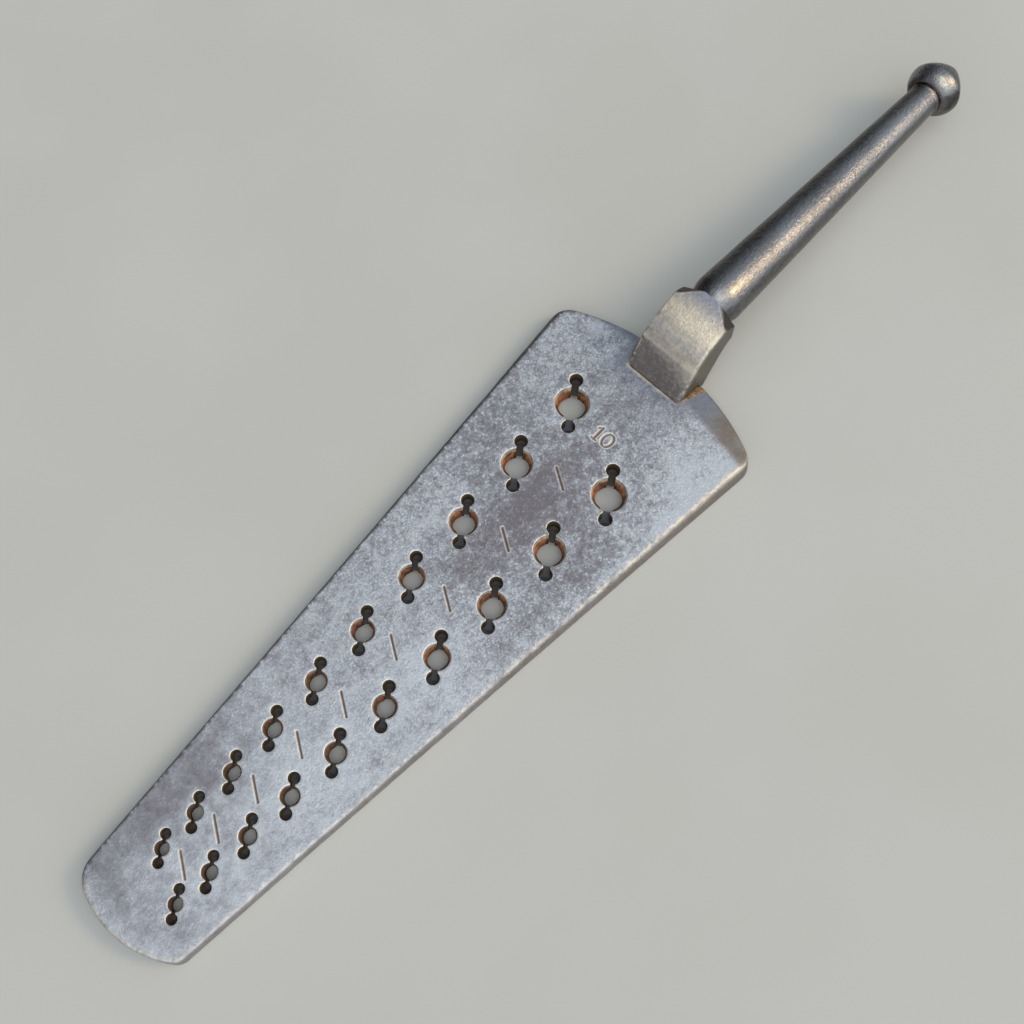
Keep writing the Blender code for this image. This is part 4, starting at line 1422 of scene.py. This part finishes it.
        # The crests take the same painted shade as the walls round them
        crests = {"thread_wall": 1.0, "lip": self.crest_lip, "sunk": self.crest_sunk,
                  "old_rust": self.shade_share(mesh)}
        for name, value in crests.items():
            layer = mesh.attributes.new(name, "FLOAT", "POINT")
            spread = np.broadcast_to(np.float32(value), len(mesh.vertices))
            layer.data.foreach_set("value", spread.astype(np.float32))
        bpy.data.objects.remove(seeds)
        piece = bpy.data.objects.new("thread_crests", mesh)
        bpy.context.scene.collection.objects.link(piece)
        return piece


@dataclass(frozen=True)
class Section:
    """Section across the neck: its points in stations, Y and Z, and at each how bright its edges are, worn
    and with painted highlight, and its shares of side and facet, which take painted shade.
    """
    points: np.ndarray
    lightness: np.ndarray
    side: np.ndarray
    facet: np.ndarray


@dataclass
class Neck:
    """Cranked bar from the blade to the handle, with a crowned face and shoulder facets at its back."""
    layout: Layout
    blade: Blade
    top_width: float = 15.4
    edge_break: float = 0.45
    crown: float = 0.5
    base_lift: float = 0.25
    face_angle: float = math.radians(66.0)
    top_angle: float = math.radians(26.0)
    bend_length: float = 4.4
    depth: float = 10.4
    back_angle: float = math.radians(68.0)
    back_lean: float = 0.6
    under_land: float = 0.8
    flare_radius: float = 5.2
    shoulder_length: float = 4.4
    shoulder_top: float = 2.0
    shoulder_drop: float = 4.8
    stages: int = 10
    bend_stages: tuple[int, int] = (1, 8)
    shoulder_stage: int = 9
    face_steps: int = 25
    # Painted light and shade along the face, by stage, with a lit corner on the right
    light_stages: tuple[float, ...] = (0.80, 0.95, 1.5, 2.5, 3.5, 5.5, 7.0, 8.5, 9.3, 9.9)
    light_levels: tuple[float, ...] = (0.04, 0.38, 0.78, 0.58, 0.58, 0.70, 0.62, 0.92, 0.54, 0.22)
    light_slant: float = 0.02
    light_slopes: Span = (0.003, 0.013)
    lit_corner: Span = (1.8, -6.8)
    corner_reach: Span = (0.8, 2.2)
    corner_light: float = 0.75
    # Painted reflection of the sky, by stage
    sheen_stages: tuple[float, ...] = (4.0, 5.2, 6.4, 8.8, 9.9)
    sheen_levels: tuple[float, ...] = (0.0, 0.3, 0.0, 0.0, 1.0)
    sheen: float = 0.8

    def __post_init__(self) -> None:
        """Work out the corner points of the face and of the back, in distances from the foot and heights."""
        axis = self.layout.handle_root_height + self.layout.handle_flare * math.tan(self.layout.handle_drop)
        foot = np.array([0.0, float(self.blade.flat_top(self.layout.foot))])
        self.end = np.array([self.layout.neck_reach, axis + self.flare_radius])
        up = np.array([math.cos(self.face_angle), math.sin(self.face_angle)])
        over = np.array([math.cos(self.top_angle), math.sin(self.top_angle)])
        corner_x = (self.end[1] - foot[1] - math.tan(self.top_angle) * self.end[0]) / (
            math.tan(self.face_angle) - math.tan(self.top_angle))
        corner = np.array([corner_x, foot[1] + math.tan(self.face_angle) * corner_x])
        self.bend = (corner - up * self.bend_length, corner, corner + over * self.bend_length)
        self.base = foot - up * (foot[1] - self.base_lift) / math.sin(self.face_angle)
        self.shoulder = self.end - over * self.shoulder_length
        back_start = np.array([self.depth, self.base_lift])
        back_end = np.array([self.layout.neck_reach + self.back_lean,
                             axis - self.flare_radius - self.under_land])
        back_run = (back_end[1] - back_start[1]) / math.tan(self.back_angle)
        self.back = (back_start, np.array([back_start[0] + back_run, back_end[1]]), back_end)

    @staticmethod
    def curve(corners: tuple[np.ndarray, np.ndarray, np.ndarray], share: float) -> np.ndarray:
        """Point on the soft corner through three points."""
        first = corners[0] + (corners[1] - corners[0]) * share
        second = corners[1] + (corners[2] - corners[1]) * share
        return first + (second - first) * share

    def face_point(self, stage: float) -> np.ndarray:
        """Point of the face at a stage from 0 at the base to 10 at the handle."""
        first, last = self.bend_stages
        if stage < first:
            return self.base + (self.bend[0] - self.base) * stage
        if stage < last:
            return self.curve(self.bend, (stage - first) / (last - first))
        if stage < self.shoulder_stage:
            return self.bend[2] + (self.shoulder - self.bend[2]) * (stage - last)
        return self.shoulder + (self.end - self.shoulder) * (stage - self.shoulder_stage)

    def section(self, stage: float) -> Section:
        """One section across the neck.

        Args:
            stage: Place along the neck, from 0 at its base to 10 at the handle.

        Returns:
            The section, with its points counter-clockwise.
        """
        front = self.face_point(stage)
        back = self.curve(self.back, stage / self.stages)
        down = (back - front) / np.linalg.norm(back - front)
        share = stage / self.stages
        facet = max(0.0, stage - self.shoulder_stage)
        half = blend(self.layout.neck_foot_width, self.top_width, share) / 2
        edge_y = blend(half - self.edge_break, self.shoulder_top, facet)
        edge_drop = blend(self.edge_break, self.shoulder_drop, facet)
        crown = self.crown * min(share, 0.9) * (1 - facet) - 0.03 * share
        top_y = np.linspace(-edge_y, edge_y, self.face_steps)
        face = [0.0] * self.face_steps
        lightness = face.copy()
        profile = [(y, -crown * (1 - (y / edge_y) ** 2)) for y in top_y]
        rounding = [(0.30, 0.10), (0.68, 0.36)] if facet == 0 else [(0.34, 0.34), (0.67, 0.67)]
        corner = [(edge_y + (half - edge_y) * u, edge_drop * v) for u, v in rounding]
        depth = float(np.linalg.norm(back - front))
        side = [(half, blend(edge_drop, depth - self.edge_break, t)) for t in np.linspace(0.0, 1.0, 9)]
        low = [(half - self.edge_break * 0.3, depth - self.edge_break * 0.3), (half - self.edge_break, depth)]
        under = [(y, depth) for y in np.linspace(half - self.edge_break, -half + self.edge_break, 13)[1:-1]]
        right = corner + side + low
        profile += right + under + [(-y, z) for y, z in reversed(right)]
        corner_wear = [1.0, 1.0] if facet == 0 else [0.0, 0.0]
        right_wear = corner_wear + [0.5] + [0.0] * 8 + [0.3, 0.0]
        lightness[0] = lightness[-1] = 0.6
        lightness += right_wear + [0.0] * len(under) + right_wear[::-1]
        right_side = [0.0, 0.3, 0.6] + [1.0] * 10
        side_share = face + right_side + [1.0] * len(under) + right_side[::-1]
        right_facet = [1.0, 1.0, 1.0] + [0.0] * 10
        facet_share = face + right_facet + [0.0] * len(under) + right_facet[::-1]
        points = [(self.layout.foot + front[0] + down[0] * z, y, front[1] + down[1] * z) for y, z in profile]
        return Section(*(np.array(values) for values in (points, lightness, side_share, facet_share)))

    def polish(self, stage: float, offsets: np.ndarray) -> np.ndarray:
        """Painted light and shade on the face: darkest on the steep foot, lightest on the top and the right
        corner.
        """
        level = np.interp(stage - self.light_slant * offsets, self.light_stages, self.light_levels)
        from_stage = (stage - self.lit_corner[0]) / self.corner_reach[0]
        across = (offsets - self.lit_corner[1]) / self.corner_reach[1]
        corner = self.corner_light * np.exp(-across ** 2) * math.exp(-from_stage ** 2)
        right_slope, left_slope = self.light_slopes
        slope = np.where(offsets > 0, left_slope, right_slope)
        return level - slope * offsets * min(1.0, stage / 3) + corner

    def build(self, material: bpy.types.Material) -> bpy.types.Object:
        """The neck as one closed form."""
        borders = (0, *self.bend_stages, self.shoulder_stage, self.stages)
        stages = np.unique(np.concatenate([
            np.linspace(*run) for run in zip(borders, borders[1:], (12, 40, 6, 10))]))
        skin = Skin("neck")
        rows, lightness, polish, wall, facet, sheen = [], [], [], [], [], []
        for stage in stages:
            section = self.section(float(stage))
            rows.append(self.layout.world(section.points))
            lightness.append(section.lightness)
            polish.append(self.polish(float(stage), section.points[:, 1]))
            # Painted reflection of the sky: a blue band across the face and on the top
            sky_reflection = self.sheen * np.interp(stage, self.sheen_stages, self.sheen_levels)
            sheen.append(np.full(len(section.points), sky_reflection))
            # Shares of side and shoulder facet, where painted shade goes
            wall.append(section.side)
            facet.append(section.facet * float(soft_step(stage, 9.02, 9.2)))
        columns = len(rows[0])
        faces = ring_faces(len(rows), columns)
        last = (len(rows) - 1) * columns
        faces.append(tuple(range(columns))[::-1])
        faces.append(tuple(last + index for index in range(columns)))
        skin.add(np.concatenate(rows), faces, edge_wear=np.concatenate(lightness), polish=np.concatenate(polish),
                 side_wall=np.concatenate(wall), shoulder=np.concatenate(facet), sheen=np.concatenate(sheen))
        piece = skin.build(material, 28.0)
        face_outwards(piece)
        return piece


@dataclass(frozen=True)
class HighlightPatch:
    """Patch on the top right of the handle where a highlight is painted."""
    distance: float
    length: float
    breadth: float
    strength: float
    from_top: float = 24.0

    def share(self, distance: float, from_top: np.ndarray) -> np.ndarray:
        """How strongly the highlight is painted on each point of a ring, by its distance and its degrees from
        the top.
        """
        along = (distance - self.distance) / self.length
        return self.strength * np.exp(-along ** 2 - ((from_top - self.from_top) / self.breadth) ** 2)


@dataclass
class Handle:
    """Round tapered handle with a fine collar and a blunt conical knob, turned about its axis."""
    layout: Layout
    root_radius: float = 6.4
    neck_radius: float = 4.2
    flare_radius: float = 5.2
    collar_height: float = 0.2
    collar_width: float = 0.6
    knob_radius: float = 7.1
    knob_cheek: float = 4.2
    knob_nose: float = 8.7
    nose_power: float = 1.26
    sides: int = 144
    inset: float = 0.04
    unevenness: float = 0.05
    nose_gap: float = 0.02
    nose_shade: float = 0.93
    cheek: HighlightPatch = HighlightPatch(-2.5, 1.1, 19.0, 0.5)
    root_strip: HighlightPatch = HighlightPatch(0.5, 4.0, 10.0, 0.3)

    def profile(self) -> list[tuple[float, float, float]]:
        """Distances along the axis, radii, and how strongly each ring is the collar's."""
        flare = self.layout.handle_flare
        length = self.layout.handle_length
        points = [(-flare - 2.0, self.flare_radius - 0.9, 0.0)]
        for share in np.linspace(0.0, 1.0, 9):
            radius = blend(self.flare_radius, self.root_radius, 1 - (1 - share) ** 1.9)
            points.append((-flare * (1 - share), radius, 0.0))
        body_end = length - 2 * self.collar_width
        for distance in np.arange(0.8, body_end, 0.8):
            points.append((distance, blend(self.root_radius, self.neck_radius, distance / body_end), 0.0))
        for share in np.linspace(0.0, 1.0, 12):
            bulge = self.collar_height * math.sin(math.pi * min(1.0, share * 1.25))
            behind = (self.collar_height if share > 0.8 else 0.0) * (share - 0.8) / 0.2
            radius = self.neck_radius + bulge - behind
            points.append((body_end + 2 * self.collar_width * share, radius, math.sin(math.pi * share) ** 2))
        for angle in np.linspace(0.0, math.pi / 2, 26)[1:]:
            distance = length + self.knob_cheek * (1 - math.cos(angle))
            points.append((distance, blend(self.neck_radius, self.knob_radius, math.sin(angle)), 0.0))
        for angle in np.linspace(0.0, math.pi / 2, 36)[1:-1]:
            share = math.sin(angle)
            radius = self.knob_radius * (1 - share ** self.nose_power) ** (1 / self.nose_power)
            points.append((length + self.knob_cheek + self.knob_nose * share, radius, 0.0))
        return points

    def build(self, material: bpy.types.Material) -> bpy.types.Object:
        """The handle as one closed form."""
        angles = np.linspace(0.0, 2 * math.pi, self.sides, endpoint=False)
        drop = Matrix.Rotation(self.layout.handle_drop, 3, "Y")
        turn = np.array([list(row) for row in drop])
        root = np.array([self.layout.handle_root, 0.0, self.layout.handle_root_height])
        rings, collar, flank, rubbed = [], [], [], []
        # Degrees round the axis from the top, counted towards the right
        from_top = np.degrees(np.arctan2(-np.cos(angles), np.sin(angles)))
        # Painted shade on the flanks, the left one most, and on the knob's nose
        left_shade = soft_step(-from_top, 10.0, 44.0)
        flank_shade = np.where(from_top < 0, left_shade, 0.52 * soft_step(from_top, 44.0, 58.0))
        nose_start = self.layout.handle_length + self.knob_cheek
        for distance, radius, share in self.profile():
            uneven = [self.unevenness * (noise.noise(Vector((distance / 7, math.cos(a), math.sin(a)))) - 0.7)
                      for a in angles]
            around = radius - self.inset + np.array(uneven) * min(1.0, radius / 3)
            ring = np.stack([np.full(self.sides, distance), around * np.cos(angles),
                             around * np.sin(angles)], axis=1)
            rings.append(self.layout.world(ring @ turn.T + root))
            collar.append(np.full(self.sides, share))
            on_knob = float(soft_step(distance, nose_start - 4.0, nose_start - 3.0))
            on_nose = float(soft_step(distance, nose_start - 0.8, nose_start + 1.4))
            spared = np.where(from_top < 0, 1 - 0.9 * on_knob, 1.0 + 0.6 * on_knob)
            flank.append(np.maximum(flank_shade * spared, self.nose_shade * on_nose))
            # Painted highlights on the knob's cheek and at the root
            cheek = self.cheek.share(distance - nose_start, from_top)
            rubbed.append(cheek + self.root_strip.share(distance, from_top))
        end = nose_start + self.knob_nose - self.nose_gap
        tip = np.array([[end, 0.0, 0.0]]) @ turn.T + root
        skin = Skin("handle")
        faces = [face[::-1] for face in ring_faces(len(rings), self.sides)]
        last = (len(rings) - 1) * self.sides
        nose = len(rings) * self.sides
        faces += [(last + (i + 1) % self.sides, nose, last + i)[::-1] for i in range(self.sides)]
        faces.append(tuple(range(self.sides)))
        points = np.concatenate([*rings, self.layout.world(tip)])
        skin.add(points, faces, collar=np.concatenate([*collar, [0.0]]),
                 flank=np.concatenate([*flank, [self.nose_shade]]), rubbed=np.concatenate([*rubbed, [0.0]]))
        piece = skin.build(material, 60.0)
        face_outwards(piece)
        return piece


@dataclass(frozen=True)
class Lamp:
    """One round soft lamp, aimed at the middle of the tool."""
    name: str
    place: tuple[float, float, float]
    size: float
    power: float
    colour: tuple[float, float, float]

    def build(self) -> None:
        """Hang the lamp."""
        data = bpy.data.lights.new(self.name, "AREA")
        data.shape = "DISK"
        data.size = self.size
        data.energy = self.power
        data.color = self.colour
        lamp = bpy.data.objects.new(self.name, data)
        lamp.location = self.place
        lamp.rotation_euler = (-lamp.location).to_track_quat("-Z", "Y").to_euler()
        bpy.context.scene.collection.objects.link(lamp)


@dataclass
class Studio:
    """Camera, pale table, two soft lamps and a cool sky that is brighter on the side of the low sun."""
    camera_place: tuple[float, float, float] = (-92.862, -65.019, 276.3)
    camera_turn: tuple[float, float, float] = (20.0, 0.0, -47.0503)
    lens: float = 43.945
    sensor: float = 36.0
    sky_colour: Colour = (0.82, 0.92, 1.0, 1.0)
    sky_bright: float = 0.97
    sky_dim: float = 0.10
    sky_run: Span = (-0.35, 0.80)
    table_half: float = 9.0
    lamps: tuple[Lamp, ...] = (
        Lamp("low_sun", (1.69, -1.67, 1.85), 0.98, 22.0, (1.0, 0.71, 0.38)),
        Lamp("roof_light", (-0.5, -0.6, 2.4), 2.4, 17.0, (1.0, 0.98, 0.93)),
    )

    def camera(self) -> None:
        """Camera at the photograph's viewing angle."""
        data = bpy.data.cameras.new("camera")
        data.lens = self.lens
        data.sensor_width = self.sensor
        data.sensor_fit = "HORIZONTAL"
        data.clip_start = 0.01
        camera = bpy.data.objects.new("camera", data)
        camera.location = Vector(self.camera_place) * MM
        camera.rotation_euler = Euler([math.radians(angle) for angle in self.camera_turn], "XYZ")
        bpy.context.scene.collection.objects.link(camera)
        bpy.context.scene.camera = camera

    def table(self) -> None:
        """Large flat table under the tool."""
        mesh = bpy.data.meshes.new("table")
        half = self.table_half
        mesh.from_pydata([(-half, -half, 0.0), (half, -half, 0.0), (half, half, 0.0), (-half, half, 0.0)],
                         [], [(0, 1, 2, 3)])
        mesh.materials.append(TablePaint().build())
        table = bpy.data.objects.new("table", mesh)
        bpy.context.scene.collection.objects.link(table)
        table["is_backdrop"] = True

    def sky(self) -> None:
        """Cool sky, bright on one side and dim on the other."""
        world = bpy.data.worlds.new("sky")
        world.use_nodes = True
        graph = Graph(world.node_tree)
        graph.tree.nodes.clear()
        direction = graph.value("ShaderNodeTexCoord", output="Generated")
        sideways = graph.value("ShaderNodeSeparateXYZ", {0: direction}, 1)
        strength = graph.mask(sideways, *self.sky_run, self.sky_bright, self.sky_dim)
        light = graph.value("ShaderNodeBackground", {"Color": self.sky_colour, "Strength": strength})
        graph.node("ShaderNodeOutputWorld", {"Surface": light})
        bpy.context.scene.world = world

    def build(self) -> None:
        """Set up the whole studio."""
        self.camera()
        self.table()
        self.sky()
        for lamp in self.lamps:
            lamp.build()
        bpy.context.scene.view_settings.view_transform = "Standard"


@dataclass
class ScrewPlate:
    """The whole tool, piece by piece."""
    layout: Layout = field(default_factory=Layout)

    def pieces(self) -> list[bpy.types.Object]:
        """Build every piece, from the blade to the handle."""
        blade = Blade(self.layout)
        rust = BoreRust().build()
        bores = Bores(blade)
        return [
            blade.build(BladePatina().build()),
            bores.build(rust),
            Threads(blade, bores).build(rust),
            Neck(self.layout, blade).build(NeckSteel().build()),
            Handle(self.layout).build(HandleSteel().build()),
        ]

    def build(self) -> None:
        """Build the pieces, hang them on the body and report them."""
        for piece in self.pieces():
            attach(piece, BODY)
            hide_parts(CAD_NODE)
            mesh = piece.data
            LOG.info("%s: %d points, %d faces", piece.name, len(mesh.vertices), len(mesh.polygons))


def corners(box: object) -> list[list[float]]:
    """A box as plain lists of numbers."""
    return [[float(value) for value in corner] for corner in box]


def main() -> None:
    """Build the tool and its studio."""
    logging.basicConfig(level=logging.INFO, format="%(name)s: %(message)s")
    Studio().build()
    ScrewPlate().build()
    boxes = {"cad": corners(CAD_BOX), "visual": corners(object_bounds())}
    LOG.info("boxes: %s", boxes)


if __name__ == "__main__":
    main()
